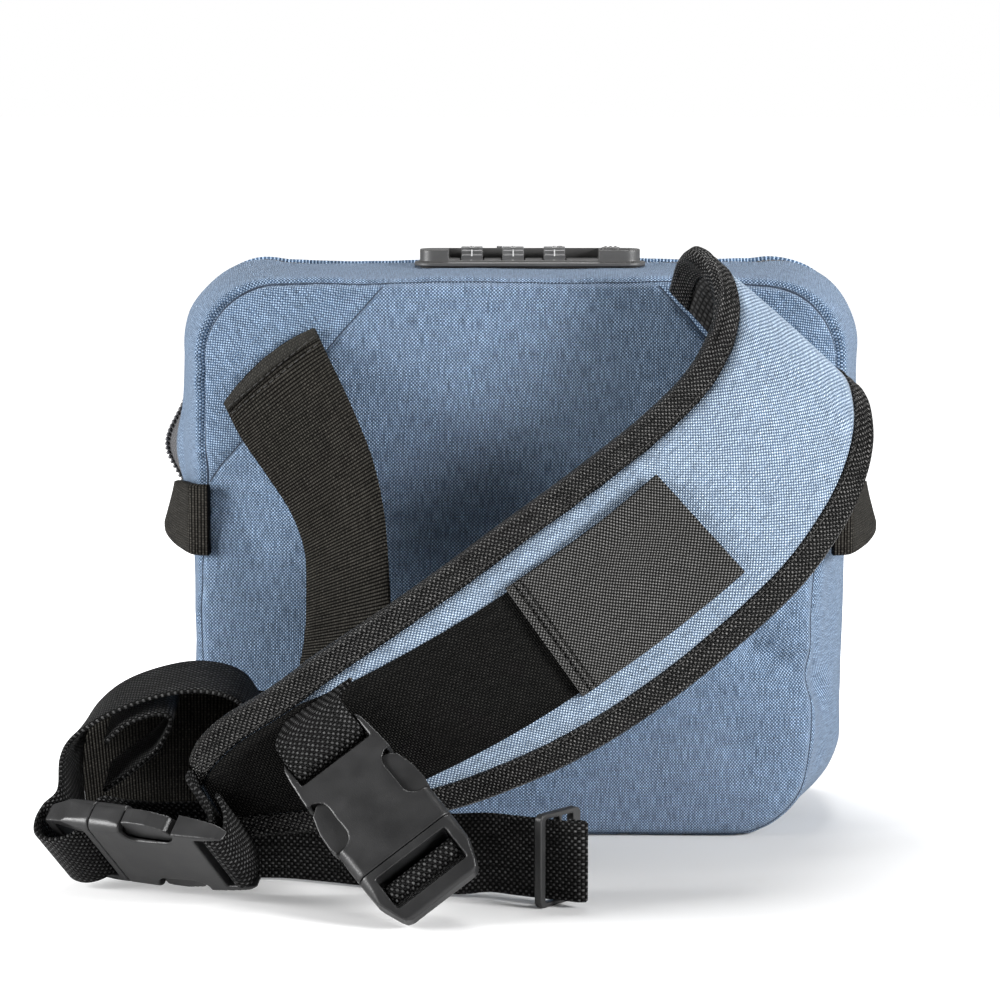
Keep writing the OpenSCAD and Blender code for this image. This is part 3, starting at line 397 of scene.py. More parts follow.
def panel(side):
    """The padded front or back, cut as a grid."""
    bm = bmesh.new()
    flat = bm.verts.layers.float_vector.new("cloth")
    bmesh.ops.create_grid(bm, x_segments=150, y_segments=132, size=1)
    for v in bm.verts:
        x, z = round_corner(dense(v.co.x) * HALF_W, MIDDLE * (1 + dense(v.co.y)))
        v.co = (x, 0, z)
    if side < 0:
        # rows of points beside the diagonal seams of the two corner panels
        for k in (-1, 1):
            normal = Vector((k * DIAGONAL.x, 0, DIAGONAL.z))
            for off in (-0.0018, -0.0008, 0, 0.0008, 0.0018):
                bmesh.ops.bisect_plane(
                    bm, geom=bm.verts[:] + bm.edges[:] + bm.faces[:], dist=1e-6,
                    plane_co=Vector((k * HALF_W, 0, TALL - CORNER_CUT)) + normal * off,
                    plane_no=normal)
    for v in bm.verts:
        x, z = v.co.x, v.co.z
        turned = side < 0 and past_diagonal(x, z) > 0
        v[flat] = (x * 0.78 + z * 0.62, z * 0.78 - x * 0.62, 0) if turned else (x, z, 0)
        v.co = panel_spot(side, x, z)
    if side > 0:
        bmesh.ops.reverse_faces(bm, faces=bm.faces)
    return bm


def seam_path():
    """The seam line from the middle of the bottom over the left side, as (length, place at
    a share of it) of each run and bend; a place is x, z and the way outwards."""
    low, up = LOW_R * math.pi / 2, TOP_R * math.pi / 2
    flat_low, flat_top, upright = HALF_W - LOW_R, 2 * (HALF_W - TOP_R), TALL - LOW_R - TOP_R

    def bend(cx, cz, r, start):
        def at(t):
            turn = math.radians(start - 90 * t)
            return cx + r * math.cos(turn), cz + r * math.sin(turn), math.cos(turn), math.sin(turn)
        return at

    return [
        (flat_low, lambda t: (-flat_low * t, 0, 0, -1)),
        (low, bend(-HALF_W + LOW_R, LOW_R, LOW_R, 270)),
        (upright, lambda t: (-HALF_W, LOW_R + upright * t, -1, 0)),
        (up, bend(-HALF_W + TOP_R, TALL - TOP_R, TOP_R, 180)),
        (flat_top, lambda t: (-HALF_W + TOP_R + flat_top * t, TALL, 0, 1)),
        (up, bend(HALF_W - TOP_R, TALL - TOP_R, TOP_R, 90)),
        (upright, lambda t: (HALF_W, TALL - TOP_R - upright * t, 1, 0)),
        (low, bend(HALF_W - LOW_R, LOW_R, LOW_R, 0)),
        (flat_low, lambda t: (flat_low * (1 - t), 0, 0, -1))]


SEAM = seam_path()
SEAM_LENGTH = sum(run for run, at in SEAM)


def on_seam(s):
    for run, at in SEAM:
        if s <= run:
            return at(s / run)
        s -= run
    return SEAM[-1][1](1.0)


def height_at(s):
    return on_seam(s)[1]


def side_spot(s, y, off=0.0):
    """A place on the swelling side, s round the seam and y across it."""
    x, z, nx, nz = on_seam(s)
    swell = LOW_SWELL * ease(z / LOW_R) + (SIDE_SWELL - LOW_SWELL) * ease((z - 0.06) / 0.08)
    swell = (abs(nx) * swell + max(nz, 0) * TOP_SWELL) * (1 - (y / HALF_D) ** 2) + off
    if x < 0:
        swell += 0.0045 * math.exp(-((z - BULGE_Z) / 0.013) ** 2 - ((y - ZIP_Y) / 0.010) ** 2)
    edge = HALF_D - abs(y)
    drawn = seam_depth(x, z) * hump(edge / SEAM_W)
    swell += pucker(s, edge) * 1.5 - drawn
    return settle(Vector((x + nx * swell, y - math.copysign(drawn, y), z + nz * swell)))


def side_band(steps, rows, y0, y1, keep):
    """Cloth round the side between y0 and y1, where keep says so."""
    bm = bmesh.new()
    flat = bm.verts.layers.float_vector.new("cloth")
    bmesh.ops.create_grid(bm, x_segments=steps, y_segments=rows, size=1)
    for v in bm.verts:
        s = (v.co.x + 1) / 2 * SEAM_LENGTH
        a, b = math.asin(y0 / HALF_D), math.asin(y1 / HALF_D)
        y = HALF_D * math.sin(a + (v.co.y + 1) / 2 * (b - a))
        v[flat] = (s, y, 0)
        # the edge beside the zip is folded under and stands a little proud
        from_hem = abs(y - ZIP_Y) - TAPE_W - 0.001
        v.co = side_spot(s, y, 0.0011 * hump(from_hem / 0.0017) * ease((height_at(s) - 0.1) / 0.02))
    lost = [f for f in bm.faces
            if not keep(sum((v[flat] for v in f.verts), Vector()) / len(f.verts))]
    bmesh.ops.delete(bm, geom=lost, context="FACES")
    bmesh.ops.remove_doubles(bm, verts=bm.verts, dist=1e-6)
    return bm


# the hole that the lock is let into: middle and half length along the top, and its edges
HOLE_X, HOLE_HALF, HOLE_Y = 0.003, 0.0345, (-0.0175, -0.0045)


def stays_on_bag(c):
    """True for the cloth of the side that doesn't open with the front."""
    x, z = on_seam(c.x)[:2]
    if z < ZIP_END:
        return True
    in_hole = abs(x - HOLE_X) < HOLE_HALF and HOLE_Y[0] < c.y < HOLE_Y[1] and z > TALL - 0.001
    return c.y < ZIP_Y - TAPE_W and not in_hole


back = finish_piece("back_cover", panel(-1), [heather, lining], "bag")
thicken(back, 0.0022)
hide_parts("back_panel", "back_corner_left", "back_corner_right")

side = finish_piece("side_cover", side_band(400, 40, -HALF_D, HALF_D, stays_on_bag),
                    [heather, lining], "bag")
thicken(side, 0.0020)
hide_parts("rear_gusset", "side_panel_left", "side_panel_right", "bottom_panel")


# ---- seams of the back ----
# Where two cloths meet their edges are drawn in, and a thin dark line of painted shade
# lies in the fold between them: once round the back, and along the diagonals of its
# corner panels.
def flecked(name, scale, dark, light, rough=0.5, shine=0.5):
    """A finish that wanders between two tones."""
    made, tree, shader = new_material(name)
    tone = mix_colour(tree, speckle(tree, object_place(tree), scale), (*dark, 1), (*light, 1))
    feed(tree, shader, {"Base Color": tone, "Roughness": rough, "Specular IOR Level": shine})
    return made


def as_mesh(curve):
    """The mesh of a curve or of a text, which is then removed."""
    holder = add_object("holder", curve)
    bpy.context.view_layer.update()
    mesh = bpy.data.meshes.new_from_object(holder)
    bpy.data.objects.remove(holder)
    bpy.data.curves.remove(curve)
    return mesh


def add_mesh(bm, mesh):
    """Joins a mesh into a bmesh and removes it."""
    bm.from_mesh(mesh)
    bpy.data.meshes.remove(mesh)
    return bm


# dark blue-black tone of the painted shade in the seams
seam_shade = flecked("seam_shade", 700.0, (0.008, 0.012, 0.02), (0.05, 0.075, 0.12), rough=0.9)


def seam_line(name, points):
    """A thin dark line of painted shade along a seam, through (place, radius) points."""
    curve = bpy.data.curves.new("seam", "CURVE")
    curve.dimensions = "3D"
    curve.bevel_depth, curve.bevel_resolution = 0.001, 1
    line = curve.splines.new("POLY")
    line.points.add(len(points) - 1)
    for point, (place, radius) in zip(line.points, points):
        point.co = (*place, 1)
        point.radius = radius / curve.bevel_depth
    finish_piece(name, add_mesh(bmesh.new(), as_mesh(curve)), [seam_shade], "bag")


SEAM_STEPS, CORNER_STEPS = 520, 100
# the painted shade line widens where its seam is drawn in deeper
LINE_R, LINE_GAIN, CORNER_LINE_R = 0.0002, 0.26, 0.00022
points = []
for k in range(SEAM_STEPS + 1):
    s = SEAM_LENGTH * k / SEAM_STEPS
    radius = LINE_R + LINE_GAIN * (seam_depth(*on_seam(s)[:2]) - SEAM_LEAST)
    points.append((side_spot(s, -HALF_D), radius))
seam_line("back_seam_shade", points)
for hand, k in (("left", -1), ("right", 1)):
    points = []
    for share in [0.03 + 0.0094 * n for n in range(CORNER_STEPS + 1)]:
        x, z = k * (HALF_W - CORNER_RUN * share), TALL - CORNER_CUT * (1 - share)
        points.append((panel_spot(-1, x, z), CORNER_LINE_R))
    seam_line(f"corner_seam_shade_{hand}", points)


# ---- opening front ----
# The padded front and the front strip of the side are one cover, which on the real bag
# folds forward above the ends of the zip, a band of the cloth bending gradually; here it
# stays in place.
strip = side_band(400, 14, ZIP_Y + TAPE_W, HALF_D, lambda c: height_at(c.x) >= ZIP_END)
spare = bpy.data.meshes.new("spare")
strip.to_mesh(spare)
strip.free()
front = finish_piece("front_cover", add_mesh(panel(1), spare), [heather, lining])
thicken(front, 0.0020)
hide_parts("front_panel_lower", "front_panel_upper", "front_gusset")
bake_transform(front)


# ---- zip ----
# Two grey woven tapes with a nylon coil sewn along their edges, from the left side
# over the top to the right side.
tape_grey = cloth("zip_tape", 0.0005, 0.0008, (0.13, 0.13, 0.135), (0.075, 0.075, 0.08),
                  melange=0.1, gap_shade=0.7, rough=0.75, relief=0.4)
coil_grey = flecked("zip_coil", 900.0, (0.075, 0.075, 0.07875), (0.125, 0.125, 0.13125), rough=0.38)

ZIP_START = next(s / 1000 for s in range(0, 400) if height_at(s / 1000) >= ZIP_END)
COIL_PITCH, COIL_R, COIL_L = 0.0015, 0.00062, 0.0030
# how far the tapes and the coil lie below the cloth's face
TAPE_SINK, COIL_SINK = 0.0013, 0.0007


def zip_lift(s, y):
    """The left end of the zip buckles outwards above its tab."""
    x, z = on_seam(s)[:2]
    buckled = math.exp(-((z - BULGE_Z) / 0.012) ** 2 - ((y - ZIP_Y) / 0.005) ** 2)
    return 0.0035 * buckled if x < 0 else 0.0


def zip_half(name, y0, y1, coil_y, shift, node):
    """One tape with its row of coil turns."""
    bm = bmesh.new()
    flat = bm.verts.layers.float_vector.new("cloth")
    bmesh.ops.create_grid(bm, x_segments=220, y_segments=5, size=1)
    for v in bm.verts:
        s = ZIP_START + (v.co.x + 1) / 2 * (SEAM_LENGTH - 2 * ZIP_START)
        y = y0 + (v.co.y + 1) / 2 * (y1 - y0)
        v[flat] = (y, s, 0)
        v.co = side_spot(s, y, zip_lift(s, y) - TAPE_SINK)
    s = ZIP_START + 0.001 + shift
    while s < SEAM_LENGTH - ZIP_START - 0.001:
        centre = side_spot(s, coil_y, zip_lift(s, coil_y) - COIL_SINK)
        x, z, nx, nz = on_seam(s)
        turn = Matrix(((nz, 0, -nx), (0, 1, 0), (nx, 0, nz))).transposed().to_4x4()
        made = bmesh.ops.create_cone(
            bm, cap_ends=True, segments=6, radius1=COIL_R, radius2=COIL_R, depth=COIL_L,
            matrix=Matrix.Translation(centre) @ turn @ Matrix.Rotation(math.pi / 2, 4, "X"))
        for f in {f for v in made["verts"] for f in v.link_faces}:
            f.material_index = 1
        s += COIL_PITCH
    piece = finish_piece(name, bm, [tape_grey, coil_grey])
    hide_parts(node)
    return piece


zip_back = zip_half("zip_back_half", ZIP_Y - TAPE_W - 0.001, ZIP_Y - 0.0002, ZIP_Y - 0.0013,
                    0, "zip_rear")
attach(zip_back, "bag")
zip_front = zip_half("zip_front_half", ZIP_Y + 0.0002, ZIP_Y + TAPE_W + 0.001, ZIP_Y + 0.0013,
                     COIL_PITCH / 2, "zip_front")
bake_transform(zip_front)


# ---- moulded parts ----
# Glass-filled nylon in dark grey, with the fine spark-eroded grain of its mould and
# soft edges: sliders and pulls, lock, buckles, and the webbing slide.
GRAIN = 0.00045


def grey(level):
    return (level, level, level)


def moulding(name, tone, rough, relief=0.25):
    made, tree, shader = new_material(name)
    place = object_place(tree)
    rub = speckle(tree, place, 120.0, 3.0)
    bump = put(tree, "ShaderNodeBump", {"Height": speckle(tree, place, 1 / GRAIN),
                                        "Strength": relief, "Distance": 0.0002}).outputs[0]
    feed(tree, shader, {"Base Color": scaled(tree, tone, mapped(tree, rub, 0.3, 0.7, 0.85, 1.15)),
                        "Roughness": mapped(tree, rub, 0.3, 0.7, rough - 0.06, rough + 0.06),
                        "Normal": bump})
    return made


nylon = moulding("dark_nylon", (0.019, 0.019, 0.0195), 0.37)
lock_grey = moulding("lock_nylon", (0.070, 0.069, 0.068), 0.45)
dial_black = moulding("dial_black", (0.085, 0.085, 0.086), 0.40, relief=0.1)
board_black = moulding("board_black", grey(0.03), 0.7)
bright_steel, tree, shader = new_material("bright_steel")
drawn = put(tree, "ShaderNodeMapping", {"Vector": object_place(tree),
                                        "Scale": (60.0, 2500.0, 2500.0)}).outputs[0]
streak = mapped(tree, speckle(tree, drawn, 1.0), 0.0, 1.0, 0.2, 0.45)
feed(tree, shader, {"Base Color": (0.6, 0.6, 0.62, 1), "Metallic": 1.0, "Roughness": streak})


def moulded(name, node, body, voxel=0.00034, rounds=3, material=nylon):
    """A rigid part with its corners softened as a mould leaves them."""
    bm = bmesh.new()
    bm.from_mesh(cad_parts[node].data)
    bmesh.ops.remove_doubles(bm, verts=bm.verts, dist=1e-6)
    piece = finish_piece(name, bm, [])
    remesh = piece.modifiers.new("remesh", "REMESH")
    remesh.mode = "VOXEL"
    remesh.voxel_size = voxel
    soften = piece.modifiers.new("soften", "SMOOTH")
    soften.iterations = rounds
    bpy.context.view_layer.update()
    depsgraph = bpy.context.evaluated_depsgraph_get()
    final = bpy.data.meshes.new_from_object(piece.evaluated_get(depsgraph))
    piece.modifiers.clear()
    piece.data = final
    final.materials.clear()
    final.materials.append(material)
    final.shade_smooth()
    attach(piece, body)
    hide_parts(node)


for hand in ("left", "right"):
    moulded(f"zip_slider_{hand}", f"slider_{hand}", f"slider_{hand}", 0.0002, 2)
    moulded(f"zip_pull_{hand}", f"pull_{hand}", f"pull_{hand}", 0.0002, 2)
for buckle in ("buckle1", "buckle2"):
    moulded(f"{buckle}_female_half", f"{buckle}_female", "bag", rounds=6)
    moulded(f"{buckle}_male_half", f"{buckle}_male", "bag", rounds=6)
    for hand in ("left", "right"):
        moulded(f"{buckle}_latch_{hand}", f"{buckle}_arm_{hand}", f"{buckle}_arm_{hand}", 0.0003)
moulded("strap_slide", "webbing_slide", "webbing_slide", 0.00028)


# ---- combination lock ----
# A nylon housing let into the top, three grooved dials on a steel shaft, each with the
# digits 0 to 9 round its rim, and a sliding release at the right.
moulded("lock_body", "lock_housing", "bag", 0.0003, 3, lock_grey)
moulded("lock_slide", "lock_release", "lock_release", 0.0002, 2, lock_grey)
# the low wall along the far side of the dials, inside the housing's flange
RIDGE_L, RIDGE_T, RIDGE_H, FLANGE = 0.054, 0.0005, 0.0038, 0.0018
low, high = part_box("lock_housing")
middle = ((low.x + high.x) / 2, high.y - FLANGE - RIDGE_T / 2, high.z - RIDGE_H / 2)
bm = bmesh.new()
bmesh.ops.create_cube(bm, size=1, matrix=Matrix.Translation(middle)
                      @ Matrix.Diagonal((RIDGE_L, RIDGE_T, RIDGE_H, 1)))
bmesh.ops.bevel(bm, geom=bm.edges[:], offset=0.00015, segments=2, affect="EDGES", profile=0.5,
                material=-1)
finish_piece("lock_ridge", bm, [lock_grey], "bag", smooth=False)

digit_white = flecked("digit_white", 1800.0, grey(0.35), grey(0.6))
DIGIT_TALL, DIGIT_PROUD, DIGIT_TURN = 0.0042, 0.00005, 11
for number in (1, 2, 3):
    low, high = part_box(f"dial_{number}")
    centre, rim = (low + high) / 2, (high.z - low.z) / 2
    moulded(f"dial_wheel_{number}", f"dial_{number}", f"dial_{number}", 0.0002, 2, dial_black)
    bm = bmesh.new()
    for digit in range(10):
        text = bpy.data.curves.new("digit", "FONT")
        text.body = str(digit)
        text.size = DIGIT_TALL
        text.align_x, text.align_y = "CENTER", "CENTER"
        shape = as_mesh(text)
        turn = Matrix.Rotation(math.radians(36 * digit + DIGIT_TURN), 4, "X")
        turn = turn @ Matrix.Translation((0, 0, rim + DIGIT_PROUD))
        shape.transform(Matrix.Translation(centre) @ turn)
        add_mesh(bm, shape)
    finish_piece(f"dial_digits_{number}", bm, [digit_white], f"dial_{number}", smooth=False)


# ---- plain inner parts ----
# The stiffener board in the bottom, and the lock's clamp, its screws and the dials'
# steel shaft, which keep the plain faces of their solids.
for name, material in (("base_board", board_black), ("lock_clamp", nylon),
                       ("lock_screws", bright_steel), ("dial_shaft", bright_steel)):
    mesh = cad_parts[name].data
    mesh.materials.clear()
    mesh.materials.append(material)


# ---- routes of the straps ----
# Flat webbing bends and twists along its length, but not in its own plane. A route has
# stations down its middle: place, direction of its width, and width.
WEB_W, WIDE_W, WEB_T = 0.0245, 0.038, 0.0015
BAR_R, MALE_L, FEMALE_BAR, MALE_BAR = 0.0016, 0.019, -0.041, 0.00855
SLOT_MID = MALE_BAR - BAR_R - 0.002


def buckle_frame(place, *angles):
    return Vector(place), Euler([math.radians(a) for a in angles]).to_matrix()


BUCKLE1 = buckle_frame((-0.0343, -0.1468, 0.0206), 131, 145, 15)
BUCKLE2 = buckle_frame((-0.1232, -0.1194, 0.0169), 0, 44, 61)


def stop(place, width_way, width=WEB_W):
    """A station, its place in millimetres."""
    return (*(Vector(place) / 1000), *Vector(width_way).normalized(), width)


def stop_at(buckle, place, width_way):
    """A station of narrow webbing in a buckle's own frame, in metres."""
    return (*(buckle[0] + buckle[1] @ Vector(place)),
            *(buckle[1] @ Vector(width_way)).normalized(), WEB_W)


def spot(route, u):
    """Smooth curve through the stations, u counting them."""
    last = len(route) - 1
    i = max(0, min(int(u), last - 1))
    t = u - i
    four = zip(route[max(i - 1, 0)], route[i], route[i + 1], route[min(i + 2, last)])
    return [0.5 * (2 * b + (c - a) * t + (2 * a - 5 * b + 4 * c - d) * t * t
                   + (3 * b - a - 3 * c + d) * t ** 3) for a, b, c, d in four]


def seat(route, u, across, off, ahead=0.0):
    """A place on a strap: across its width, off its middle surface and ahead of u."""
    s, last = spot(route, u), len(route) - 1
    way = Vector(spot(route, min(u + 0.03, last))[:3]) - Vector(spot(route, max(u - 0.03, 0))[:3])
    width_way = Vector(s[3:6]).normalized()
    return Vector(s[:3]) + width_way * across \
        + way.normalized().cross(width_way).normalized() * off + way.normalized() * ahead


def sweep(route, u0, u1, steps, section):
    """A closed skin along a route. section(u, half width) gives (across, off) points."""
    bm = bmesh.new()
    flat = bm.verts.layers.float_vector.new("cloth")
    length, ring, edges, middle = 0.0, [], [], None
    for k in range(steps + 1):
        u = u0 + (u1 - u0) * k / steps
        points = section(u, spot(route, u)[6] / 2)
        here = seat(route, u, 0, 0)
        length += (here - middle).length if middle else 0.0
        middle = here
        if k == 0:
            ring = [bm.verts.new(seat(route, u, *p)) for p in points]
            edges = [bm.edges.new((ring[j], ring[(j + 1) % len(ring)])) for j in range(len(ring))]
            bmesh.ops.contextual_create(bm, geom=edges)
        else:
            order = {v.co.to_tuple(9): j for j, v in enumerate(ring)}
            made = bmesh.ops.extrude_edge_only(bm, edges=edges)["geom"]
            edges = [e for e in made if isinstance(e, bmesh.types.BMEdge)]
            fresh = [v for v in made if isinstance(v, bmesh.types.BMVert)]
            ring = sorted(fresh, key=lambda v: order[v.co.to_tuple(9)])
            for v, p in zip(ring, points):
                v.co = seat(route, u, *p)
        # the weave runs on round the edges of the section
        reach = max(abs(p[1]) for p in points)
        for v, p in zip(ring, points):
            v[flat] = (math.copysign(abs(p[0]) + reach - abs(p[1]), p[0]), length, p[1])
    bmesh.ops.contextual_create(bm, geom=edges)
    bmesh.ops.recalc_face_normals(bm, faces=bm.faces)
    return bm


def tape_section(thick, off=0.0, cut=None, arch=None):
    """Flat woven tape with soft edges; arch shifts a ring's points along the tape."""
    def section(u, half):
        half = min(half, cut(u)) if cut else half
        rim, top = 0.0005, thick / 2
        row = [-half, -half + rim] + [half * k / 3 for k in (-2, -1, 0, 1, 2)] + [half - rim, half]
        drop = [0.35 if k in (0, 8) else 1.0 for k in range(9)]
        lower = [(a, off - top * d) for a, d in zip(row, drop)]
        upper = [(a, off + top * d) for a, d in zip(row, drop)]
        ring = lower + upper[::-1]
        return [(a, o, arch(u, a / half)) for a, o in ring] if arch else ring
    return section


# ---- shoulder pad ----
# Foam between the heather cloth and a black spacer mesh, both long edges bound with
# ribbed tape. It starts in the right corner seam, folds over and runs down to the left.
PAD_W, PAD_T, BIND_W = 0.075, 0.005, 0.009
PAD = [stop(place, way, PAD_W * share) for place, way, share in (
    ((69, -47.6, 156), (0.68, 0, -0.73), 0.86),
    ((73.5, -52, 166), (0.73, 0, -0.68), 0.88),
    ((78, -59, 170), (0.75, 0, -0.66), 0.90),
    ((82.5, -66.5, 166), (0.74, 0, -0.67), 0.90),
    ((84.5, -73, 156.5), (0.72, 0, -0.69), 0.90),
    ((82.5, -77, 146), (0.72, 0, -0.69), 0.90),
    ((75, -82, 132), (0.72, -0.02, -0.70), 0.92),
    ((60, -86, 115), (0.69, -0.04, -0.72), 0.97),
    ((36, -90, 95), (0.60, -0.05, -0.80), 1),
    ((15.5, -94.5, 80.5), (0.58, -0.07, -0.81), 1),
    ((-3.5, -100, 68.5), (0.59, -0.07, -0.80), 0.97),
    ((-22, -105.5, 58.5), (0.62, -0.05, -0.78), 0.92),
    ((-41, -110, 49.5), (0.65, -0.03, -0.76), 0.85),
    ((-60, -113, 42), (0.62, 0, -0.78), 0.72),
    ((-77, -115, 37), (0.60, 0.02, -0.80), 0.60),
    ((-88.5, -115.5, 33), (0.52, 0.10, -0.85), 0.48),
    ((-94.5, -115, 29.5), (0.45, 0.10, -0.88), 0.38))]
PAD_END, PAD_STEPS = len(PAD) - 1, 230

pad_cloth = cloth("pad_cloth", 0.00060, 0.00060, (0.58, 0.71, 0.86), (0.10, 0.16, 0.26),
                  melange=0.35, gap_shade=0.45, relief=0.8, sheen=0.1, shine=0.15, wander=1.5,
                  fuzz=(0.24, 0.31, 0.40))
# the spacer mesh and the binding are black: their paler warp tones, sharpened to the yarn crests,
# are painted highlights, and their darker gaps are painted shade
mesh_black = cloth("spacer_mesh", 0.0018, 0.0018, grey(0.05), grey(0.03), melange=0.1, gap_shade=0.12,
                   rough=0.7, relief=1.0, highlight_sharp=2.0, shine=0.15)
binding_black = cloth("ribbed_binding", 0.0008, 0.0008, (0.145, 0.142, 0.138), grey(0.004),
                      melange=0.7, gap_shade=0.0, rough=0.34, relief=1.0, lift=0.0007, highlight_sharp=2.0,
                      shine=0.22, bead=0.8, wander=0.4)


def pad_half(u):
    """Half the pad's thickness, which thins out at its sewn end."""
    return PAD_T / 2 * min(1, 0.35 + 0.65 * u)


def pad_section(u, half):
    """Crowned on the outer face, flatter on the inner one."""
    edge, t = half - BIND_W, pad_half(u)
    row = [edge * k / 6 for k in range(-6, 7)]
    crown = [1 + 0.22 * (1 - (k / 6) ** 2) for k in range(-6, 7)]
    return [(a, -t) for a in row] + [(a, t * c) for a, c in zip(row[::-1], crown)]


pad_bm = sweep(PAD, 0, PAD_END, PAD_STEPS, pad_section)
for f in pad_bm.faces:
    if sum(v[pad_bm.verts.layers.float_vector["cloth"]].z for v in f.verts) < 0:
        f.material_index = 1
pad = finish_piece("pad_body", pad_bm, [pad_cloth, mesh_black], "bag")
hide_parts("shoulder_pad")


def binding_section(k):
    """Tape folded over the edge k of the pad: (distance in from the edge, rise) points."""
    def section(u, half):
        t, proud = pad_half(u), 0.0007
        path = ((0.0, 0.15), (0.0006, 0.72), (0.0018, 1.0), (0.0028, 0.78), (0.005, 1.0),
                (0.0072, 0.78), (0.0085, 1.0), (BIND_W, 0.5))
        outer = [(k * (half - d), (t + proud) * rise if rise < 0.7 else t + proud * (rise * 2 - 1))
                 for d, rise in path]
        ring = outer + [(a, -off) for a, off in outer][::-1]
        return ring if k < 0 else ring[::-1]
    return section


for name, k in (("upper", -1), ("lower", 1)):
    binding_bm = sweep(PAD, 0, PAD_END, PAD_STEPS, binding_section(k))
    piece = finish_piece(f"pad_binding_{name}", binding_bm, [binding_black], "bag")
    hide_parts(f"binding_{name}")


# ---- webbing on the pad ----
# A run of 38 mm webbing sewn down the middle of the pad, held by a sleeve of grey
# elastic with a turned and double-stitched hem at its lower end.
# black tapes and grey elastic: their warp tones, sharpened to the yarn crests, are painted
# highlights over near-black painted shade; the elastic's warp is also its own grey
webbing_black = cloth("black_webbing", 0.0010, 0.0010, grey(0.085), grey(0.006), melange=0.7,
                      gap_shade=0.02, rough=0.5, relief=1.0, lift=0.0005, highlight_sharp=1.8, shine=0.08,
                      wander=0.25)
wide_black = cloth("wide_webbing", 0.0008, 0.0010, (0.062, 0.058, 0.050), (0.045, 0.042, 0.036),
                   melange=0.5, gap_shade=0.01, rough=0.55, relief=1.0, lift=0.0005, highlight_sharp=3.0,
                   shine=0.05, bead=0.35, wander=0.2)
flat_black = cloth("flat_webbing", 0.0007, 0.0007, (0.028, 0.027, 0.025), grey(0.007),
                   melange=0.5, gap_shade=0.05, rough=0.55, relief=1.0, lift=0.0004, highlight_sharp=1.5,
                   shine=0.06, wander=0.2)
sleeve_grey = cloth("grey_elastic", 0.00065, 0.00065, (0.21, 0.207, 0.202), grey(0.006),
                    melange=0.2, gap_shade=0.12, rough=0.7, relief=0.8, shine=0.1, wander=0.3, highlight_sharp=1.5)
fine_black = cloth("webbing_hem", 0.0007, 0.0007, (0.045, 0.043, 0.038), (0.03, 0.029, 0.026),
                   gap_shade=0.3, rough=0.6, relief=0.6, shine=0.1)
thread_black = flecked("black_thread", 2200.0, grey(0.012), (0.09, 0.088, 0.085), shine=0.2)
FACE_GAP = 0.0002


def strap_half(u):
    """The wide webbing keeps clear of the bindings where the pad tapers."""
    return min(WIDE_W / 2, spot(PAD, u)[6] / 2 - BIND_W)


strap_tape = tape_section(WEB_T, PAD_T / 2 + FACE_GAP + WEB_T / 2, strap_half)
piece = finish_piece("pad_strap", sweep(PAD, 7.5, PAD_END - 0.25, 150, strap_tape), [flat_black],
                     "bag")
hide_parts("pad_webbing")

# the sleeve's ends in stations of the pad, metres in a station, and the two rows of
# stitches of its hem in metres from the lower end
SLEEVE_FROM, SLEEVE_TO, STATION, HEM_ROWS = 7.25, 9.5, 0.0262, (0.0031, 0.0056)


def sleeve_section(u, half):
    """Open towards the pad; the upper edge stands off, and the lower end has a hem."""
    inside, outside, top = WIDE_W / 2 + 0.0002, WIDE_W / 2 + 0.0014, WEB_T + FACE_GAP
    base = PAD_T / 2 + FACE_GAP
    d = (SLEEVE_TO - u) * STATION
    hem = 0.0007 * (1 - ease((d - 0.0022) / 0.0006)) - 0.0006 * hump((d - HEM_ROWS[0]) / 0.0003)
    hem += 0.0006 * hump((d - 0.0042) / 0.0006) - 0.0007 * hump((d - HEM_ROWS[1]) / 0.0004)
    stand = 0.0016 * hump((u - 7.9) / 0.55)
    row = [(-outside + 0.0024, 0), (-inside + 0.0024, 0), (-inside + 0.0024, top), (-0.006, top),
           (0.006, top), (inside, top), (inside, 0), (outside, 0), (outside, top + 0.0008),
           (outside - 0.001, top + 0.0013 + hem), (0.012, top + 0.0015 + hem),
           (0, top + 0.0016 + hem), (-0.012, top + 0.0015 + hem + stand * 0.4),
           (0.001 - outside, top + 0.0013 + hem + stand), (-outside, top + 0.0009 + stand),
           (-outside + 0.0024, top + 0.0006 + stand * 0.8)]
    return [(a, base + off) for a, off in row]


piece = finish_piece("pad_sleeve", sweep(PAD, SLEEVE_FROM, SLEEVE_TO, 210, sleeve_section),
                     [sleeve_grey], "bag")
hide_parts("webbing_sleeve")

STITCH = 0.0028


def row_across(u, off, half, pitch=STITCH):
    """Places of the stitches of one row across a strap."""
    count = int(2 * half / pitch)
    return [(u, (k + 0.5 - count / 2) * pitch, off, True) for k in range(count)]


def row_along(route, u0, u1, across, off):
    """Places of the stitches of one row along a strap."""
    places, gone, last = [], 0.0, seat(route, u0, across(u0), off(u0))
    u = u0
    while u < u1:
        u += 0.01
        here = seat(route, u, across(u), off(u))
        gone += (here - last).length
        last = here
        if gone > STITCH:
            gone = 0.0
            places.append((u, across(u), off(u), False))
    return places


def stitches(name, route, places, long=0.0021, thick=0.00042):
    """A thread lying in short stitches on a strap."""
    bm = bmesh.new()
    for u, across, off, sideways in places:
        here = seat(route, u, across, off)
        up = (seat(route, u, across, off + 0.001) - here).normalized()
        side = (seat(route, u, across + 0.001, off) - here).normalized()
        along = side if sideways else up.cross(side).normalized()
        turn = Matrix((up, along.cross(up), along)).transposed().to_4x4()
        bmesh.ops.create_uvsphere(
            bm, u_segments=6, v_segments=4, radius=0.5,
            matrix=Matrix.Translation(here) @ turn @ Matrix.Diagonal((thick, thick, long, 1)))
    bmesh.ops.recalc_face_normals(bm, faces=bm.faces)
    finish_piece(name, bm, [thread_black], "bag")


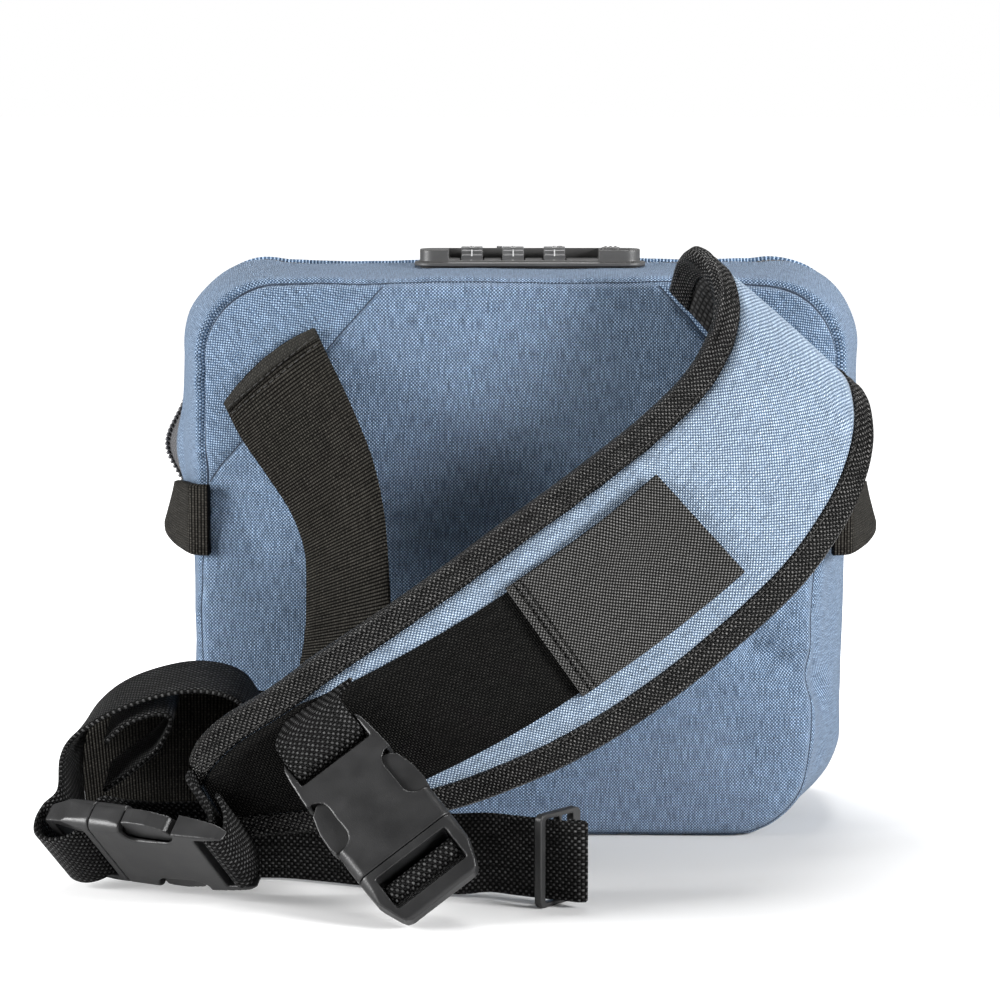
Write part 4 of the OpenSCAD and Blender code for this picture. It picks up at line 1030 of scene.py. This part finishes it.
SLEEVE_TOP = PAD_T / 2 + 2 * FACE_GAP + WEB_T + 0.0016
places = []
for from_end, sunk in zip(HEM_ROWS, (0.0002, 0.0003)):
    places += row_across(SLEEVE_TO - from_end / STATION, SLEEVE_TOP - sunk, 0.0185)
stitches("sleeve_stitches", PAD, places)
for name, k in (("upper", -1), ("lower", 1)):
    places = row_along(PAD, 0.2, PAD_END - 0.1,
                       across=lambda u: k * (spot(PAD, u)[6] / 2 - BIND_W + 0.0014),
                       off=lambda u: pad_half(u) + 0.0006)
    stitches(f"binding_stitches_{name}", PAD, places)


# ---- wide webbing from the left corner seam ----
# 38 mm webbing turned into the diagonal seam with a double-stitched hem, hanging and
# twisting down behind the pad.
CORNER = [stop(place, way, WIDE_W * share) for place, way, share in (
    ((-80.3, -46.3, 154.8), (0.77, 0, 0.64), 1),
    ((-75, -51, 144.5), (0.77, -0.12, 0.60), 1),
    ((-67, -58.5, 131.5), (0.74, -0.34, 0.55), 1),
    ((-60, -64, 118.5), (0.70, -0.50, 0.50), 1),
    ((-56, -67, 104.5), (0.68, -0.60, 0.42), 1),
    ((-55, -68.5, 88.5), (0.70, -0.62, 0.33), 1),
    ((-55, -69.5, 72.5), (0.74, -0.62, 0.22), 1),
    ((-57, -71.5, 57), (0.78, -0.60, 0.10), 1),
    ((-62.5, -75, 43), (0.78, -0.62, 0), 0.94),
    ((-71.5, -76.5, 36.5), (0.74, -0.42, 0.48), 0.84),
    ((-83, -75.5, 37), (0.30, 0.08, 0.94), 0.94),
    ((-96, -74.5, 37.5), (0.05, 0.02, 1), 1),
    ((-110, -74.5, 37.5), (0, 0, 1), 1),
    ((-122, -75.5, 36), (-0.05, 0, 1), 1),
    ((-138.4, -76.4, 30), (-0.10, 0, 1), 0.60))]


def hem_arch(u, share):
    """The sewn end of the strap is slightly arched."""
    return -0.0030 * (1 - share * share) * max(0.0, 1 - u)


corner_tape = tape_section(WEB_T, arch=hem_arch)
piece = finish_piece("corner_strap", sweep(CORNER, 0, len(CORNER) - 1, 220, corner_tape),
                     [wide_black], "bag")
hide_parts("corner_webbing")
hem_tape = tape_section(0.0009, WEB_T / 2 + 0.0004, lambda u: WIDE_W / 2 - 0.0002, hem_arch)
finish_piece("corner_strap_hem", sweep(CORNER, 0, 0.34, 6, hem_tape), [fine_black],
             "bag")
places = []
for u, raised in ((0.26, 0.0009), (0.46, 0.0001)):
    places += row_across(u, WEB_T / 2 + raised, 0.0182, 0.0026)
stitches("corner_strap_stitches", CORNER, places)


# ---- narrow webbing ----
# 25 mm webbing: from the pad to the first buckle, over the bars of both buckles, in
# slack loops at the left, and along the ground through the slide.
LEFT, RIGHT = (-1, 0, 0), (1, 0, 0)


def through(buckle, way, *places):
    """Stations down the middle of a buckle, as (y, z) in its own frame."""
    return [stop_at(buckle, (0, y, z), way) for y, z in places]


def wrap(buckle, way, y, start, end):
    """Stations round a bar of a buckle."""
    r = BAR_R + WEB_T / 2 + 0.0003
    turns = [math.radians(start + (end - start) * i / 4) for i in range(5)]
    return through(buckle, way, *[(y + r * math.cos(a), r * math.sin(a)) for a in turns])


PAD_SEAT = seat(PAD, 12.5, -0.018, PAD_T / 2 + 1.5 * WEB_T + 7 * FACE_GAP)
STABILISER = [
    (*PAD_SEAT, *Vector((0.82, 0, 0.57)).normalized(), WEB_W),
    stop_at(BUCKLE1, (-0.001, FEMALE_BAR - 0.011, 0.0026), LEFT),
    *through(BUCKLE1, LEFT, (FEMALE_BAR - 0.005, 0.003)),
    *wrap(BUCKLE1, LEFT, FEMALE_BAR, 90, -90),
    *through(BUCKLE1, LEFT, (FEMALE_BAR - 0.005, -0.00285), (FEMALE_BAR - 0.008, -0.00285))]
LOOP = [
    *through(BUCKLE1, LEFT, (-0.015, -0.0076), (-0.004, -0.0074), (MALE_BAR - 0.00345, -0.005)),
    *wrap(BUCKLE1, LEFT, MALE_BAR, 180, 0),
    *through(BUCKLE1, LEFT, (MALE_BAR + 0.00235, -0.005), (MALE_BAR - 0.001, -0.009),
             (-0.004, -0.010), (-0.013, -0.010))]
TIP = [
    stop((-95.5, -116, 28.7), (0.42, 0.25, -0.87)), stop((-96, -121, 28), (0.38, 0.45, -0.81)),
    *through(BUCKLE2, RIGHT, (FEMALE_BAR + 0.009, 0.0125), (FEMALE_BAR + 0.004, 0.007),
             (FEMALE_BAR + 0.00275, 0.003)),
    *wrap(BUCKLE2, RIGHT, FEMALE_BAR, 0, -180),
    *through(BUCKLE2, RIGHT, (FEMALE_BAR - 0.00245, 0.004), (FEMALE_BAR, 0.009),
             (FEMALE_BAR + 0.005, 0.014))]
SLIDE_MID, SLIDE_Z = Vector((8, -130.75, 0)), 14.35
SLIDE_DIR = Vector((0.9, -0.425, 0)).normalized()
SLIDE_NORMAL = Vector((-SLIDE_DIR.y, SLIDE_DIR.x, 0))


def by_slide(s, n, z=SLIDE_Z, way=(0, 0, -1)):
    """A station s along and n beside the straight run that the slide rides on."""
    return stop(SLIDE_MID + Vector((0, 0, z)) + SLIDE_DIR * s + SLIDE_NORMAL * n, way)


GROUND = [
    *through(BUCKLE2, RIGHT, (SLOT_MID, 0.0002), (SLOT_MID - 0.0002, 0.0045),
             (SLOT_MID - 0.0028, 0.0082)),
    stop((-116, -109.5, 20.5), (0.35, 0.60, -0.72)), stop((-107, -104, 16.5), (0.25, 0.45, -0.85)),
    stop((-98, -100, 13.8), (0.10, 0.20, -0.97)), stop((-86, -98, 13), (0, 0, -1)),
    stop((-72, -98.5, 12.9), (0, -0.05, -1)), stop((-59, -101, 12.5), (0, -0.25, -0.97)),
    stop((-45, -104.5, 11.6), (0, -0.45, -0.89)), stop((-31, -111, 11.6), (0, -0.48, -0.88)),
    by_slide(-30, 0, 12.9, (0, -0.20, -0.98)), by_slide(-20, 0), by_slide(-10, 0), by_slide(0, 0),
    by_slide(6, 0), by_slide(9.5, 0), by_slide(11.3, 1.2), by_slide(9.5, 2.4), by_slide(5, 2.4)]
HEAP = [
    *through(BUCKLE2, RIGHT, (SLOT_MID, -0.0002), (SLOT_MID + 0.0005, -0.0036),
             (SLOT_MID + 0.004, -0.0069), (MALE_L - 0.005, -0.0084), (MALE_L + 0.0005, -0.007),
             (MALE_L + 0.003, -0.0025), (MALE_L + 0.0028, 0.003)),
    stop_at(BUCKLE2, (0, MALE_L + 0.0015, 0.009), (1, 0.1, 0)),
    stop((-139, -98, 34), (0.15, 0.85, -0.50)), stop((-138, -93.5, 42.5), (0.05, 0.97, -0.20)),
    stop((-133.5, -91, 49.5), (0, 0.99, 0.05)), stop((-124.5, -90, 56), (0, 0.98, 0.18)),
    stop((-111.5, -90, 60.8), (0, 0.98, 0.20)), stop((-99, -90, 62.3), (0, 0.98, 0.20)),
    stop((-88, -90, 59.3), (0.05, 0.98, 0.15)), stop((-81, -90, 50.5), (0, 1, 0)),
    stop((-78.5, -90, 40), (0, 1, 0)), stop((-77, -91, 30), (-0.1, 0.99, 0))]
CURL = [stop(place, (0, 0.98, 0.17)) for place in (
    (-128, -91, 46), (-122, -91, 51.5), (-114.5, -91, 54.5), (-109, -91, 54.5), (-108, -91, 51.5),
    (-112.5, -91, 43.5), (-121, -91, 36.5), (-128.5, -91, 31))]
for name, route, steps, node in (
        ("stabiliser_strap", STABILISER, 110, "stabiliser_webbing"),
        ("buckle1_strap", LOOP, 120, "buckle1_webbing"),
        ("pad_tip_strap", TIP, 120, "pad_tip_webbing"),
        ("ground_strap", GROUND, 240, "floor_webbing"),
        ("heap_strap", HEAP, 200, "pile_webbing"), ("curl_strap", CURL, 90, "curl_webbing")):
    strap_bm = sweep(route, 0, len(route) - 1, steps, tape_section(WEB_T))
    piece = finish_piece(name, strap_bm, [webbing_black], "bag")
    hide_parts(node)


# ---- tabs over the ends of the zip ----
# Folded webbing sewn into the back seams, covering where the zip ends on each side. A
# tab narrows and leans away from the side towards its free end.
TAB_Z, TAB_H = 105, 0.023


def on_side(share, off, lean, width):
    """A station of the left tab off the swelling side, in mm, with lean and width."""
    y = -39.4 + share * 39.65
    swell = LOW_SWELL + (SIDE_SWELL - LOW_SWELL) * ease((TAB_Z / 1000 - 0.06) / 0.08)
    return -104 - swell * (1 - (y / 40) ** 2) * 1000 - off - 1.5, y, lean, width


TAB = [(-100.4, -43.8, 0, 1), (-103.4, -43, 0, 1), (-105.9, -41, 0, 1),
       on_side(0.12, 1.3, -0.03, 0.98), on_side(0.36, 2.5, -0.08, 0.92),
       on_side(0.66, 3.7, -0.18, 0.80), on_side(0.9, 4.3, -0.26, 0.66),
       on_side(1, 4.4, -0.30, 0.60)]
for hand, k in (("left", 1), ("right", -1)):
    route = [stop((k * x, y, TAB_Z), (k * lean, 0, -1), TAB_H * width) for x, y, lean, width in TAB]
    tab_bm = sweep(route, 0, len(route) - 1, 42, tape_section(2 * WEB_T))
    piece = finish_piece(f"end_tab_{hand}", tab_bm, [wide_black], "bag")
    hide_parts(f"zip_tab_{hand}")
